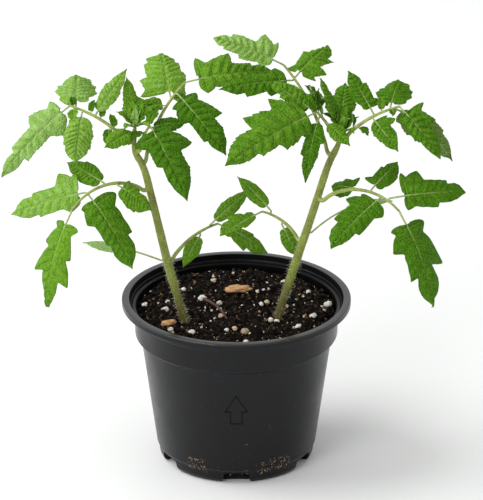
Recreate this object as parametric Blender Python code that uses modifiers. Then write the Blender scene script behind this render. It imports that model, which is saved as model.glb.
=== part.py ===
"""Two young tomato plants growing in one 12 cm nursery pot.

All sizes below are millimetres; the finished objects are metres, +Z up.
The origin is the middle of the pot's flat foot, and -Y is the pot's front.
Directions are a compass azimuth, in degrees from +X towards +Y, and a rise above the level.
"""
import math

import bmesh
import bpy
from mathutils import Vector

MM = 0.001
GAP = 0.3                       # left between pieces that touch

# ---- driving dimensions ----
RIM_RADIUS = 60.0
POT_HEIGHT = 89.0
RIM_BAND = 4.0                  # flat top of the rim
RIM_DROP = 3.0                  # depth of the turned-down rim
COLLAR_RADIUS = 53.4            # straight band under the rim
SHOULDER_Z = 69.5               # where the wall steps in below the collar
SHOULDER_DROP = 2.0             # height of the slope below the shoulder
BODY_TOP_RADIUS = 50.0
BODY_FOOT_RADIUS = 42.0
BODY_FOOT_Z = 8.0
FOOT_RADIUS = 37.0              # flat circle that the pot stands on
FOOT_EDGE = (40.6, 2.4)         # radius and height where the foot starts to round under
FOOT_ROUND = (39.4, 0.5)
FOOT_STEP = (41.3, 7.2)         # small step between the foot and the wall
LEDGE_DROP = 4.4                # inside ledge, below the rim
LEDGE_WIDTH = 1.0
STEP_DROP = 7.0                 # small step line on the outside of the collar, below the rim
STEP_WIDTH = 0.9
EASE = 0.5                      # cut of the rim's edges
WALL = 1.3
FLOOR = 1.6
FLOOR_ROUND = (39.4, 5.4)       # inside, where the floor turns up into the wall
NOTCHES = 6
NOTCH_TOP_WIDTH = 12.4
NOTCH_FOOT_WIDTH = 16.4
NOTCH_HEIGHT = 6.4
NOTCH_INNER_RADIUS = 35.0
NOTCH_OUTER_RADIUS = 45.5
CUT_BELOW = 3.0                 # how far a cutter starts below the foot
TURNED_STEPS = 48

SOIL_TOP = 83.0
SOIL_MOUND = 0.8                # rise of the soil from the wall to the middle
SOIL_FALL = (0.85, 0.3)         # share of the mound left at a third and two thirds of the way out
SOIL_SINK = 0.6                 # how far the soil's edge lies below its top
SOIL_GAP = GAP + 0.35           # between the soil and the pot's wall

STEM_FOOT_RADIUS = 2.7
STEM_TOP_RADIUS = 1.4
STALK_FOOT_RADIUS = 1.1
STALK_END_RADIUS = 0.6
SHALLOWEST_SINE = 0.35          # a blade or stalk never leaves its parent at a shallower angle
STALK_STEPS = 10
STEM_SPAN_STEPS = 3
TUBE_ROUNDNESS = 2              # bevel resolution of every round tube
HOLE_REACH = 12.0               # how far a stem's hole is cut above the soil
HOLE_SLACK = 0.1
BLADE_THICKNESS = 0.5
BLADE_FOLD = 0.12               # how far the margins sink below the midrib
NECK_WIDTH = 1.2                # little stalk at the base of each blade

# Stem routes: a point every few centimetres, from the planted foot to the growing tip.
STEMS = {
    "left": [(-23, -17, 69), (-27, -17, 84), (-35, -15, 113), (-41, -13, 139), (-47, -11, 165),
             (-52, -10, 176), (-52, -9, 188)],
    "right": [(19, -12, 69), (22, -12, 84), (29, -12, 108), (39, -10, 140), (47, -8, 166),
              (52, -7, 177), (54, -7, 185)],
}

# Leaf stalks: plant, height where it leaves the stem, azimuth at its foot and end,
# rise at its foot and end, length.
STALKS = {
    "left_leaf_1": ("left", 114, (60, 40), (25, 0), 38),
    "left_leaf_2": ("left", 152, (205, 215), (40, -45), 46),
    "left_leaf_3": ("left", 174, (190, 150), (55, 5), 36),
    "left_leaf_4": ("left", 166, (75, 35), (50, 35), 48),
    "left_leaf_5": ("left", 172, (-60, -20), (75, 55), 17),
    "right_leaf_1": ("right", 123, (130, 180), (45, 15), 24),
    "right_leaf_2": ("right", 144, (-20, -30), (45, -40), 47),
    "right_leaf_3": ("right", 175, (-20, 15), (55, 10), 34),
    "right_leaf_4": ("right", 169, (120, 140), (60, 35), 52),
    "right_leaf_5": ("right", 177, (170, 195), (70, 45), 18),
}

# Leaflets of each stalk: place along the stalk, azimuth, rise, roll with the right edge down,
# droop from base to tip, whole length, width, length of its own little stalk.
LEAFLETS = {
    "left_leaf_1": [
        ("lower", 0.75, 235, -40, -20, 35, 20, 12, 2),
        ("upper", 0.80, 35, 30, 45, 25, 29, 12, 4),
        ("terminal", 1.0, 5, -35, 40, 35, 30, 18, 3),
    ],
    "left_leaf_2": [
        ("inner", 0.40, -25, -30, 35, 35, 22, 15, 3),
        ("upper", 0.50, 145, 15, -40, 25, 24, 12, 2),
        ("outer", 0.70, 170, -20, -50, 30, 42, 22, 4),
        ("front", 0.75, -35, -50, 25, 35, 43, 25, 3),
        ("terminal", 1.0, 225, -70, 0, 30, 48, 28, 4),
    ],
    "left_leaf_3": [
        ("upright", 0.60, 40, 45, 40, 20, 28, 10, 2),
        ("lower", 0.80, -100, -50, -15, 35, 27, 16, 3),
        ("fan", 0.90, 90, 10, 0, 20, 30, 21, 3),
        ("terminal", 1.0, 190, -45, -45, 45, 50, 23, 4),
    ],
    "left_leaf_4": [
        ("crown", 0.75, 100, 15, 0, 25, 38, 23, 3),
        ("front", 0.85, -45, -35, 35, 40, 42, 21, 4),
        ("terminal", 1.0, 10, 5, 40, 25, 43, 24, 5),
    ],
    "left_leaf_5": [
        ("inner", 0.85, 20, 0, 30, 40, 19, 10, 2),
        ("front", 1.0, -55, -40, 20, 35, 44, 25, 3),
    ],
    "right_leaf_1": [
        ("lower", 0.60, -20, -65, 55, 25, 19, 12, 3),
        ("upper", 0.65, 135, 25, -30, 25, 28, 12, 4),
        ("terminal", 1.0, 205, -20, -45, 35, 24, 16, 3),
    ],
    "right_leaf_2": [
        ("inner", 0.55, 125, -15, -45, 30, 24, 12, 4),
        ("upper", 0.60, 45, 25, 35, 25, 22, 13, 3),
        ("outer", 0.80, 10, 0, 50, 40, 40, 22, 8),
        ("front", 0.75, 220, -30, -30, 35, 37, 25, 3),
        ("terminal", 1.0, -50, -60, 0, 30, 48, 30, 4),
    ],
    "right_leaf_3": [
        ("upright", 0.60, 140, 50, -35, 20, 25, 11, 3),
        ("lower", 0.55, -60, -20, 30, 35, 26, 11, 3),
        ("fan", 0.85, 80, 10, 0, 20, 27, 19, 3),
        ("terminal", 1.0, -40, -40, 35, 40, 33, 20, 4),
        ("outer", 0.90, 20, -45, -50, 50, 46, 18, 6),
    ],
    "right_leaf_4": [
        ("front", 0.80, 200, 0, -45, 25, 40, 17, 4),
        ("crown", 0.82, 60, 10, 10, 25, 34, 22, 4),
        ("terminal", 1.0, 170, 20, -45, 25, 36, 21, 4),
    ],
    "right_leaf_5": [
        ("upper", 0.80, 155, 25, -45, 25, 29, 10, 4),
        ("inner", 0.60, -55, -15, 30, 30, 21, 9, 3),
        ("lower", 0.85, -110, -50, 0, 35, 35, 13, 4),
        ("front", 1.0, 210, -20, -45, 35, 55, 27, 5),
    ],
}

# Blades that grow straight from the stem: plant, height, then as a leaflet from azimuth on.
STEM_BLADES = {
    "left_seed_leaf": ("left", 115, 160, 5, -10, 20, 44, 10, 20),
    "left_young_leaf_low": ("left", 186, 235, 0, -30, 35, 24, 12, 2),
    "left_young_leaf_upright": ("left", 187, 110, 60, 0, 15, 21, 8, 3),
    "left_young_leaf_back": ("left", 186, 90, 30, 0, 25, 20, 14, 4),
    "right_seed_leaf": ("right", 126, 20, 15, 10, 55, 46, 10, 22),
    "right_young_leaf_upright": ("right", 184, 150, 65, 0, 15, 26, 10, 4),
    "right_young_leaf_back": ("right", 184, 85, 40, 0, 25, 26, 14, 5),
}

# Outline of a blade: place along the midrib and share of the full half width.
BLADE_OUTLINE = [(0.0, 0.3), (0.12, 0.78), (0.32, 1.0), (0.55, 0.86), (0.75, 0.58), (0.9, 0.28), (1.0, 0.06)]

# A bark chip on the soil: place, size, turn about +Z.
BARK_PLACE = (1, 17)
BARK_SIZE = (13.5, 7.0, 2.6)
BARK_TURN = 8
BARK_WEAR = 0.28                # bevel, as a share of the chip's thickness

COLOURS = {
    "pot": ((0.022, 0.023, 0.025), 0.42),
    "soil": ((0.035, 0.022, 0.015), 0.95),
    "stem": ((0.30, 0.42, 0.14), 0.55),
    "stalk": ((0.22, 0.36, 0.10), 0.55),
    "leaf": ((0.06, 0.21, 0.035), 0.5),
    "bark": ((0.55, 0.27, 0.12), 0.85),
}


def clear_scene():
    """Removes whatever objects the open scene holds."""
    for thing in list(bpy.data.objects):
        bpy.data.objects.remove(thing, do_unlink=True)


def new_collection(name):
    collection = bpy.data.collections.new(name)
    bpy.context.scene.collection.children.link(collection)
    return collection


def new_material(name, colour, roughness):
    """A plain Principled finish."""
    material = bpy.data.materials.new(name)
    material.use_nodes = True
    shader = material.node_tree.nodes["Principled BSDF"]
    shader.inputs["Base Color"].default_value = (*colour, 1.0)
    shader.inputs["Roughness"].default_value = roughness
    shader.inputs["Metallic"].default_value = 0.0
    return material


def add_object(name, data, finish, collection):
    """Links a named object that has one finish."""
    thing = bpy.data.objects.new(name, data)
    if finish:
        data.materials.append(MATERIALS[finish])
    collection.objects.link(thing)
    return thing


def evaluated_mesh(thing):
    """The object's mesh with its modifiers applied, in its own space."""
    return bpy.data.meshes.new_from_object(thing.evaluated_get(bpy.context.evaluated_depsgraph_get()))


def direction(azimuth, rise):
    """Unit vector of a compass azimuth and a rise, both in degrees."""
    turn = math.radians(azimuth)
    tilt = math.radians(rise)
    return Vector((math.cos(tilt) * math.cos(turn), math.cos(tilt) * math.sin(turn), math.sin(tilt)))


def blend(ends, share):
    return ends[0] + (ends[1] - ends[0]) * share


def clear_distance(heading, axis, radius):
    """How far to go along a heading to stand a radius and the gap clear of a round axis."""
    return (radius + GAP) / max(heading.cross(axis.normalized()).length, SHALLOWEST_SINE)


# ---- turned pieces ----

def turned(name, profile, finish, collection):
    """Turns a profile about +Z. The profile runs down its outer side, top to bottom."""
    mesh = bpy.data.meshes.new(name)
    shape = bmesh.new()
    points = [shape.verts.new((radius * MM, 0, height * MM)) for radius, height in profile]
    for above, below in zip(points, points[1:]):
        shape.edges.new((above, below))
    shape.to_mesh(mesh)
    shape.free()
    thing = add_object(name, mesh, finish, collection)
    screw = thing.modifiers.new("turn", "SCREW")
    screw.steps = TURNED_STEPS
    screw.render_steps = TURNED_STEPS
    screw.use_merge_vertices = True
    screw.merge_threshold = 0.00001
    return thing


def cut(thing, cutter, name):
    """Takes the cutter out of the object with an exact Boolean."""
    cutter.hide_render = True
    cutter.display_type = "WIRE"
    difference = thing.modifiers.new(name, "BOOLEAN")
    difference.operation = "DIFFERENCE"
    difference.solver = "EXACT"
    difference.object = cutter


def make_pot():
    """Thin moulded pot: banded rim, straight collar, stepped-in tapering wall, notched foot."""
    inner_rim = RIM_RADIUS - RIM_BAND
    under_rim = POT_HEIGHT - RIM_DROP
    profile = [
        (0, FLOOR),
        (FOOT_RADIUS - EASE, FLOOR),
        FLOOR_ROUND,
        (BODY_FOOT_RADIUS - WALL, BODY_FOOT_Z + EASE),
        (BODY_TOP_RADIUS - WALL, SHOULDER_Z - SHOULDER_DROP),
        (COLLAR_RADIUS - WALL, SHOULDER_Z + EASE),
        (COLLAR_RADIUS - WALL + EASE, POT_HEIGHT - LEDGE_DROP),
        (inner_rim - LEDGE_WIDTH, POT_HEIGHT - LEDGE_DROP + EASE),
        (inner_rim, POT_HEIGHT - EASE),
        (inner_rim + EASE, POT_HEIGHT),
        (RIM_RADIUS - EASE, POT_HEIGHT),
        (RIM_RADIUS, POT_HEIGHT - EASE),
        (RIM_RADIUS, under_rim),
        (COLLAR_RADIUS + STEP_WIDTH, under_rim),
        (COLLAR_RADIUS + STEP_WIDTH, POT_HEIGHT - STEP_DROP),
        (COLLAR_RADIUS, POT_HEIGHT - STEP_DROP - EASE),
        (COLLAR_RADIUS, SHOULDER_Z),
        (BODY_TOP_RADIUS, SHOULDER_Z - SHOULDER_DROP),
        (BODY_FOOT_RADIUS, BODY_FOOT_Z),
        FOOT_STEP,
        FOOT_EDGE,
        FOOT_ROUND,
        (FOOT_RADIUS, 0),
        (0, 0),
    ]
    pot = turned("pot", profile, "pot", PARTS)
    for index in range(NOTCHES):
        cut(pot, notch_cutter(index), f"drain_notch_{index + 1}")
    return pot


def notch_cutter(index):
    """A block that widens downwards, set over the foot's edge."""
    shape = bmesh.new()
    bmesh.ops.create_cube(shape, size=1.0)
    for corner in shape.verts:
        upper = corner.co.z > 0
        width = NOTCH_TOP_WIDTH if upper else NOTCH_FOOT_WIDTH
        corner.co.x = (NOTCH_OUTER_RADIUS if corner.co.x > 0 else NOTCH_INNER_RADIUS) * MM
        corner.co.y = math.copysign(width / 2, corner.co.y) * MM
        corner.co.z = (NOTCH_HEIGHT if upper else -CUT_BELOW) * MM
    mesh = bpy.data.meshes.new(f"notch_cutter_{index + 1}")
    shape.to_mesh(mesh)
    shape.free()
    cutter = add_object(mesh.name, mesh, None, CUTTERS)
    cutter.rotation_euler.z = math.radians(-90 + index * 360 / NOTCHES)
    return cutter


def make_soil():
    """Potting mix filled to just under the rim, gently mounded, with a hole for each stem."""
    collar_inside = COLLAR_RADIUS - WALL - SOIL_GAP
    profile = [
        (0, SOIL_TOP + SOIL_MOUND),
        (collar_inside / 3, SOIL_TOP + SOIL_MOUND * SOIL_FALL[0]),
        (collar_inside * 2 / 3, SOIL_TOP + SOIL_MOUND * SOIL_FALL[1]),
        (collar_inside, SOIL_TOP - SOIL_SINK),
        (collar_inside, SHOULDER_Z + EASE),
        (BODY_TOP_RADIUS - WALL - SOIL_GAP, SHOULDER_Z - SHOULDER_DROP),
        (BODY_FOOT_RADIUS - WALL - SOIL_GAP, BODY_FOOT_Z + EASE),
        (FLOOR_ROUND[0] - SOIL_GAP, FLOOR_ROUND[1] + EASE),
        (FOOT_RADIUS - EASE - SOIL_GAP, FLOOR + GAP),
        (0, FLOOR + GAP),
    ]
    soil = turned("soil", profile, "soil", PARTS)
    for plant in STEMS:
        cut(soil, stem_hole_cutter(plant), f"{plant}_stem_hole")
    return soil


# ---- stems and stalks ----

def smooth_route(points, steps):
    """Catmull-Rom curve through hand-set points, with the same number of steps in each span."""
    known = [Vector(point) for point in points]
    known = [known[0] * 2 - known[1]] + known + [known[-1] * 2 - known[-2]]
    route = []
    for a, b, c, d in zip(known, known[1:], known[2:], known[3:]):
        for step in range(steps):
            t = step / steps
            route.append(0.5 * (2 * b + (c - a) * t + (2 * a - 5 * b + 4 * c - d) * t * t
                                + (3 * b - a - 3 * c + d) * t ** 3))
    route.append(known[-2])
    return route


def tube(name, route, radii, finish, collection):
    """A tapering round tube with closed ends along a route."""
    curve = bpy.data.curves.new(name, "CURVE")
    curve.dimensions = "3D"
    curve.bevel_depth = MM
    curve.bevel_resolution = TUBE_ROUNDNESS
    curve.use_fill_caps = True
    spline = curve.splines.new("POLY")
    spline.points.add(len(route) - 1)
    for index, (point, place) in enumerate(zip(spline.points, route)):
        point.co = (*(place * MM), 1.0)
        point.radius = blend(radii, index / (len(route) - 1))
    return add_object(name, curve, finish, collection)


def stem_route(plant):
    return smooth_route(STEMS[plant], STEM_SPAN_STEPS)


def stem_point(plant, height):
    """Place on the stem's centre line at a height, with its direction and radius there."""
    route = stem_route(plant)
    index = next(i for i, above in enumerate(route) if above.z >= height)
    below, above = route[index - 1], route[index]
    share = (height - below.z) / (above.z - below.z)
    radius = blend((STEM_FOOT_RADIUS, STEM_TOP_RADIUS), (index - 1 + share) / (len(route) - 1))
    return below.lerp(above, share), above - below, radius


def make_stem(plant):
    return tube(f"{plant}_stem", stem_route(plant), (STEM_FOOT_RADIUS, STEM_TOP_RADIUS), "stem", PARTS)


def stem_hole_cutter(plant):
    """The stem's planted foot, grown by the gap all round and lengthened below."""
    foot = [point for point in stem_route(plant) if point.z < SOIL_TOP + HOLE_REACH]
    start = foot[0] + (foot[0] - foot[1]).normalized() * GAP
    grown = STEM_FOOT_RADIUS + GAP + HOLE_SLACK
    rod = tube(f"{plant}_stem_hole_rod", [start] + foot[1:], (grown, grown), None, CUTTERS)
    mesh = evaluated_mesh(rod)
    shape = bmesh.new()
    shape.from_mesh(mesh)
    bmesh.ops.remove_doubles(shape, verts=shape.verts, dist=0.000001)
    shape.to_mesh(mesh)
    shape.free()
    cutter = add_object(f"{plant}_stem_hole_cutter", mesh, None, CUTTERS)
    cutter.matrix_world = rod.matrix_world
    bpy.data.objects.remove(rod, do_unlink=True)
    return cutter


def stalk_route(leaf):
    """Centre line of a leaf stalk: its heading turns evenly from foot to end."""
    plant, height, azimuths, rises, length = STALKS[leaf]
    place, axis, radius = stem_point(plant, height)
    heading = direction(azimuths[0], rises[0])
    place = place + heading * clear_distance(heading, axis, radius + STALK_FOOT_RADIUS)
    route = [place]
    for step in range(STALK_STEPS):
        share = (step + 0.5) / STALK_STEPS
        place = place + direction(blend(azimuths, share), blend(rises, share)) * (length / STALK_STEPS)
        route.append(place)
    return route


def make_stalk(leaf):
    return tube(f"{leaf}_stalk", stalk_route(leaf), (STALK_FOOT_RADIUS, STALK_END_RADIUS), "stalk", PARTS)


# ---- leaf blades ----

def blade_frame(azimuth, rise, roll):
    """Directions along a blade, to its right edge and out of its upper face."""
    along = direction(azimuth, rise)
    level_side = along.cross(Vector((0, 0, 1))).normalized()
    level_facing = level_side.cross(along)
    bank = math.radians(roll)
    side = level_side * math.cos(bank) - level_facing * math.sin(bank)
    return along, side, side.cross(along)


def make_blade(name, start, axis, radius, azimuth, rise, roll, droop, length, width, neck):
    """A thin pointed blade on a neck that starts just clear of a round stalk or stem.

    Its midrib droops evenly away from its upper face, and its margins sink."""
    along, side, facing = blade_frame(azimuth, rise, roll)
    bend = math.radians(droop)
    heading = along * math.cos(bend / 2) + facing * math.sin(bend / 2)
    base = start + heading * clear_distance(heading, axis, radius + NECK_WIDTH / 2)
    stations = [(0.0, NECK_WIDTH / 2)]
    for place, share in BLADE_OUTLINE:
        stations.append((blend((neck, length), place), share * width / 2))
    shape = bmesh.new()
    bmesh.ops.create_grid(shape, x_segments=len(stations) - 1, y_segments=2, size=1.0)
    for corner in shape.verts:
        distance, half_width = stations[round((corner.co.x + 1) / 2 * (len(stations) - 1))]
        across = corner.co.y
        swing = bend / 2 * (1 - distance / length)
        midrib = (along * math.cos(swing) + facing * math.sin(swing)) * distance
        sink = BLADE_FOLD * half_width * abs(across)
        corner.co = (base + midrib - side * across * half_width - facing * sink) * MM
    mesh = bpy.data.meshes.new(name)
    shape.to_mesh(mesh)
    shape.free()
    mesh.shade_smooth()
    blade = add_object(name, mesh, "leaf", PARTS)
    shell = blade.modifiers.new("thickness", "SOLIDIFY")
    shell.thickness = BLADE_THICKNESS * MM
    shell.offset = 0.0
    return blade


def make_leaflets(leaf):
    """The blades of one compound leaf, each starting just clear of the leaf's stalk."""
    route = stalk_route(leaf)
    for name, place, *shape in LEAFLETS[leaf]:
        reach = place * STALK_STEPS
        index = min(int(reach), STALK_STEPS - 1)
        start = route[index].lerp(route[index + 1], reach - index)
        radius = blend((STALK_FOOT_RADIUS, STALK_END_RADIUS), place)
        make_blade(f"{leaf}_{name}_leaflet", start, route[index + 1] - route[index], radius, *shape)


def make_stem_blade(name):
    """A blade that grows straight from its stem, such as a seed leaf or a young leaf at the tip."""
    plant, height, *shape = STEM_BLADES[name]
    make_blade(name, *stem_point(plant, height), *shape)


# ---- on the soil ----

def make_bark_chip():
    """A worn chip of bark resting just clear of the soil."""
    shape = bmesh.new()
    bmesh.ops.create_cube(shape, size=1.0)
    for corner in shape.verts:
        corner.co = Vector(corner.co[axis] * BARK_SIZE[axis] for axis in range(3)) * MM
    mesh = bpy.data.meshes.new("bark_chip")
    shape.to_mesh(mesh)
    shape.free()
    chip = add_object("bark_chip", mesh, "bark", PARTS)
    chip.location = Vector((*BARK_PLACE, SOIL_TOP + SOIL_MOUND + GAP + BARK_SIZE[2] / 2)) * MM
    chip.rotation_euler.z = math.radians(BARK_TURN)
    worn = chip.modifiers.new("worn_edges", "BEVEL")
    worn.width = BARK_SIZE[2] * BARK_WEAR * MM
    worn.segments = 1
    return chip


clear_scene()
PARTS = new_collection("tomato_plant_in_pot")
CUTTERS = new_collection("cutters")
MATERIALS = {name: new_material(name, colour, roughness) for name, (colour, roughness) in COLOURS.items()}

make_pot()
make_soil()
for plant in STEMS:
    make_stem(plant)
for leaf in STALKS:
    make_stalk(leaf)
    make_leaflets(leaf)
for blade in STEM_BLADES:
    make_stem_blade(blade)
make_bark_chip()
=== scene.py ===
"""Looks of a nursery pot with two young tomato plants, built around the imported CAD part.

The file follows the plant as it is potted: studio, pot, potting mix, stems, leaf stalks, leaflets.
Lengths in the sections are millimetres, times MM; the pieces are in metres.
"""

import math

import bmesh
import bpy
import numpy as np
from mathutils import Matrix, Vector, noise


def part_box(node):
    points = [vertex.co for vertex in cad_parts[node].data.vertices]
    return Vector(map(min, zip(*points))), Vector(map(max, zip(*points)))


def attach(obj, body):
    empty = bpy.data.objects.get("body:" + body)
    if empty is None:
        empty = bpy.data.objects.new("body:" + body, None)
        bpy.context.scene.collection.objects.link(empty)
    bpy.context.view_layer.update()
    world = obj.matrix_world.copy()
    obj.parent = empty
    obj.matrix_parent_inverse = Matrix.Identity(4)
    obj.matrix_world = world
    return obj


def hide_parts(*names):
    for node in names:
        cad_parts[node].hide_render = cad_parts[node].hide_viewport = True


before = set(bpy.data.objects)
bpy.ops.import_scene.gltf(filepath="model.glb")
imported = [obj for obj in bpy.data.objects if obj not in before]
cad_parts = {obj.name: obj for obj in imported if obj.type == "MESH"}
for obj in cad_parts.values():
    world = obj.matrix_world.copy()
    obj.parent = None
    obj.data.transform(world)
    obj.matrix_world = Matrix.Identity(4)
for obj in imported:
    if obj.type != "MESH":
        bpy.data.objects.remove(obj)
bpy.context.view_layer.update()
MM = 0.001

# ======== Studio ========
# A pale seamless floor under an even white sky, with one broad soft lamp high on the left,
# so that the pot throws a wide soft shadow to its right.

CAMERA_RISE = 23.6
CAMERA_DISTANCE = 2.2
CAMERA_AIM = Vector((0.0027, 0.0, 0.1158))
FOCAL_LENGTH = 304.0
SENSOR_WIDTH = 36.0
FLOOR_COLOUR = (0.84, 0.85, 0.842)
FLOOR_HALF = 6.0
SKY_STRENGTH = 0.74


def finish_tree(name, roughness=0.5, colour=(0.5, 0.5, 0.5)):
    """A new material with its node tree and its Principled shader."""
    material = bpy.data.materials.new(name)
    material.use_nodes = True
    shader = material.node_tree.nodes["Principled BSDF"]
    shader.inputs["Base Color"].default_value = (*colour, 1.0)
    shader.inputs["Roughness"].default_value = roughness
    return material, material.node_tree, shader


def feed(tree, node, **inputs):
    """Sets a node's inputs by name, or i0, i1 by number. A socket is linked, a value is set."""
    for key, value in inputs.items():
        wanted = key.replace("_", " ")
        socket = next((s for s in node.inputs if s.name == wanted and s.enabled), None)
        if socket is None:
            socket = node.inputs[int(key[1:])]
        if isinstance(value, bpy.types.NodeSocket):
            tree.links.new(value, socket)
        else:
            socket.default_value = value
    return node


def add_node(tree, kind, settings=None, **inputs):
    """A new node with its settings and inputs."""
    node = tree.nodes.new(kind)
    for key, value in (settings or {}).items():
        setattr(node, key, value)
    return feed(tree, node, **inputs)


def maths(tree, operation, first, second=0.0):
    """A Math node's result."""
    return add_node(tree, "ShaderNodeMath", {"operation": operation}, i0=first, i1=second).outputs[0]


def times(tree, first, second):
    return maths(tree, "MULTIPLY", first, second)


def plus(tree, first, *others):
    for other in others:
        first = maths(tree, "ADD", first, other)
    return first


def object_place(tree):
    return add_node(tree, "ShaderNodeTexCoord").outputs["Object"]


def noise_value(tree, place, per_metre, detail=3.0, roughness=0.5):
    return add_node(tree, "ShaderNodeTexNoise", Vector=place, Scale=per_metre, Detail=detail,
                    Roughness=roughness).outputs["Fac"]


def ramp(tree, value, *stops):
    """A colour ramp from (place, colour) stops."""
    node = tree.nodes.new("ShaderNodeValToRGB")
    band = node.color_ramp
    while len(band.elements) < len(stops):
        band.elements.new(0.5)
    for element, (place, colour) in zip(band.elements, stops):
        element.position = place
        element.color = (*colour, 1.0)
    tree.links.new(value, node.inputs["Fac"])
    return node.outputs["Color"]


def mixed(tree, share, first, second):
    """A colour mixed from two colours, given as sockets or as plain colours."""
    first, second = (value if isinstance(value, bpy.types.NodeSocket) else (*value, 1.0)
                     for value in (first, second))
    return add_node(tree, "ShaderNodeMix", {"data_type": "RGBA"}, i0=share, i6=first, i7=second).outputs[2]


def faded(tree, value, start, end, first=0.0, last=1.0):
    """A value eased from first to last as the input goes from start to end."""
    return add_node(tree, "ShaderNodeMapRange", {"interpolation_type": "SMOOTHSTEP"}, i0=value, i1=start,
                    i2=end, i3=first, i4=last).outputs[0]


def bumped(tree, shader, height, depth, strength=1.0):
    """Joins a height to the shader's normal. Depth is in metres."""
    bump = add_node(tree, "ShaderNodeBump", Height=height, Distance=depth, Strength=strength)
    feed(tree, shader, Normal=bump.outputs["Normal"])


def in_scene(name, data):
    """A new object for a mesh, lamp or camera."""
    thing = bpy.data.objects.new(name, data)
    bpy.context.scene.collection.objects.link(thing)
    return thing


def add_lamp(name, place, aim, size, power):
    """A round soft lamp turned to its aim."""
    lamp = bpy.data.lights.new(name, "AREA")
    lamp.shape = "DISK"
    lamp.size = size
    lamp.energy = power
    thing = in_scene(name, lamp)
    thing.location = place
    thing.rotation_euler = (Vector(aim) - Vector(place)).to_track_quat("-Z", "Y").to_euler()


sky = bpy.data.worlds.new("studio_sky")
bpy.context.scene.world = sky
sky.use_nodes = True
feed(sky.node_tree, sky.node_tree.nodes["Background"], Color=(1.0, 1.0, 1.0, 1.0), Strength=SKY_STRENGTH)
bpy.context.scene.view_settings.view_transform = "Standard"

add_lamp("key_lamp", place=(-1.5, 0.12, 1.9), aim=(0, 0, 0.10), size=1.7, power=38)
add_lamp("front_lamp", place=(-1.3, -1.9, 1.2), aim=(0, 0, 0.10), size=1.3, power=22)

camera = bpy.data.cameras.new("camera")
camera.lens = FOCAL_LENGTH
camera.sensor_width = SENSOR_WIDTH
camera.sensor_fit = "AUTO"
viewpoint = in_scene("camera", camera)
rise = math.radians(CAMERA_RISE)
viewpoint.location = CAMERA_AIM + Vector((0, -math.cos(rise), math.sin(rise))) * CAMERA_DISTANCE
viewpoint.rotation_euler = (math.radians(90) - rise, 0, 0)
bpy.context.scene.camera = viewpoint

floor_finish, _, _ = finish_tree("studio_floor", 0.7, FLOOR_COLOUR)
floor_mesh = bpy.data.meshes.new("studio_floor")
floor_mesh.from_pydata([(x * FLOOR_HALF, y * FLOOR_HALF, 0) for x, y in ((-1, -1), (1, -1), (1, 1), (-1, 1))],
                       [], [(0, 1, 2, 3)])
floor_mesh.materials.append(floor_finish)
in_scene("studio_floor", floor_mesh)


# ======== Pot ========
# A thin injection-moulded nursery pot in black plastic: flat turned-down rim, straight collar,
# tapering wall, rounded foot with drain notches, and an arrow moulded in outline on the front.

_, pot_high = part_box("pot")
RIM_RADIUS = pot_high.x
RIM_Z = pot_high.z
POT_SIDES = 240
RIM_BAND = 4.0 * MM
RIM_SKIRT = 3.0 * MM
COLLAR_RADIUS = RIM_RADIUS - 6.6 * MM
SHOULDER_Z = 69.5 * MM
WALL_TOP_Z = SHOULDER_Z - 2.0 * MM
WALL_FOOT_Z = 8.0 * MM
BODY_TOP_RADIUS = 50.0 * MM
BODY_FOOT_RADIUS = 42.0 * MM
FOOT_RADIUS = 37.0 * MM
WALL = 1.3 * MM
POT_FLOOR = 1.6 * MM
CORNER_EASE = 0.5 * MM
SHARP_EDGE = 50.0
NOTCHES = 6
NOTCH_TOP_HALF = 6.2 * MM
NOTCH_FOOT_HALF = 8.2 * MM
NOTCH_HEIGHT = 6.4 * MM
NOTCH_BELOW = 3.0 * MM
NOTCH_BITE = (-2.0 * MM, 8.5 * MM)
NOTCH_CORNER = 1.4 * MM
RIM_SHINE = 0.8
ARROW_TIP_Z = 54.2 * MM
ARROW_HEAD_Z = 44.6 * MM
ARROW_FOOT_Z = 37.4 * MM
ARROW_HEAD_HALF = 5.9 * MM
ARROW_SHAFT_HALF = 3.0 * MM
ARROW_LINE = 0.5 * MM
ARROW_RAISE = 0.15 * MM
ARROW_SINK = -0.2 * MM


def new_piece(name, points, faces, finishes, face_finish=None, smooth=True):
    """A mesh object with its place in its mesh."""
    mesh = bpy.data.meshes.new(name)
    mesh.from_pydata([tuple(p) for p in points], [], faces)
    for finish in finishes:
        mesh.materials.append(finish)
    if face_finish is not None:
        mesh.polygons.foreach_set("material_index", face_finish)
    mesh.polygons.foreach_set("use_smooth", [smooth] * len(mesh.polygons))
    mesh.update()
    return in_scene(name, mesh)


def settle(piece, nodes):
    """The piece stands for CAD nodes and moves with the one body."""
    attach(piece, "root")
    if nodes:
        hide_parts(*nodes)


def ring_points(radius, height, sides):
    """Points evenly round the axis."""
    turns = [2 * math.pi * side / sides for side in range(sides)]
    return [(radius * math.cos(turn), radius * math.sin(turn), height) for turn in turns]


def turned_faces(rings, sides):
    """Faces of a closed shape on +Z: a first point on the axis, ring after ring, and a last point."""
    faces = []
    last_ring = 1 + (rings - 1) * sides
    for side in range(sides):
        after = (side + 1) % sides
        faces.append((0, 1 + side, 1 + after))
        for low in range(1, last_ring, sides):
            faces.append((low + side, low + sides + side, low + sides + after, low + after))
        faces.append((last_ring + side, last_ring + sides, last_ring + after))
    return faces


def rounded(corners, cut, steps=3):
    """A profile with each inner corner eased by the cut, in metres."""
    eased = [corners[0]]
    for before, corner, after in zip(corners, corners[1:], corners[2:]):
        b, c, a = Vector(before), Vector(corner), Vector(after)
        reach = min(cut, (b - c).length * 0.45, (a - c).length * 0.45)
        start = c + (b - c).normalized() * reach
        end = c + (a - c).normalized() * reach
        for step in range(steps + 1):
            t = step / steps
            eased.append(tuple(start * (1 - t) ** 2 + c * 2 * t * (1 - t) + end * t * t))
    return eased + [corners[-1]]


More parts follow.
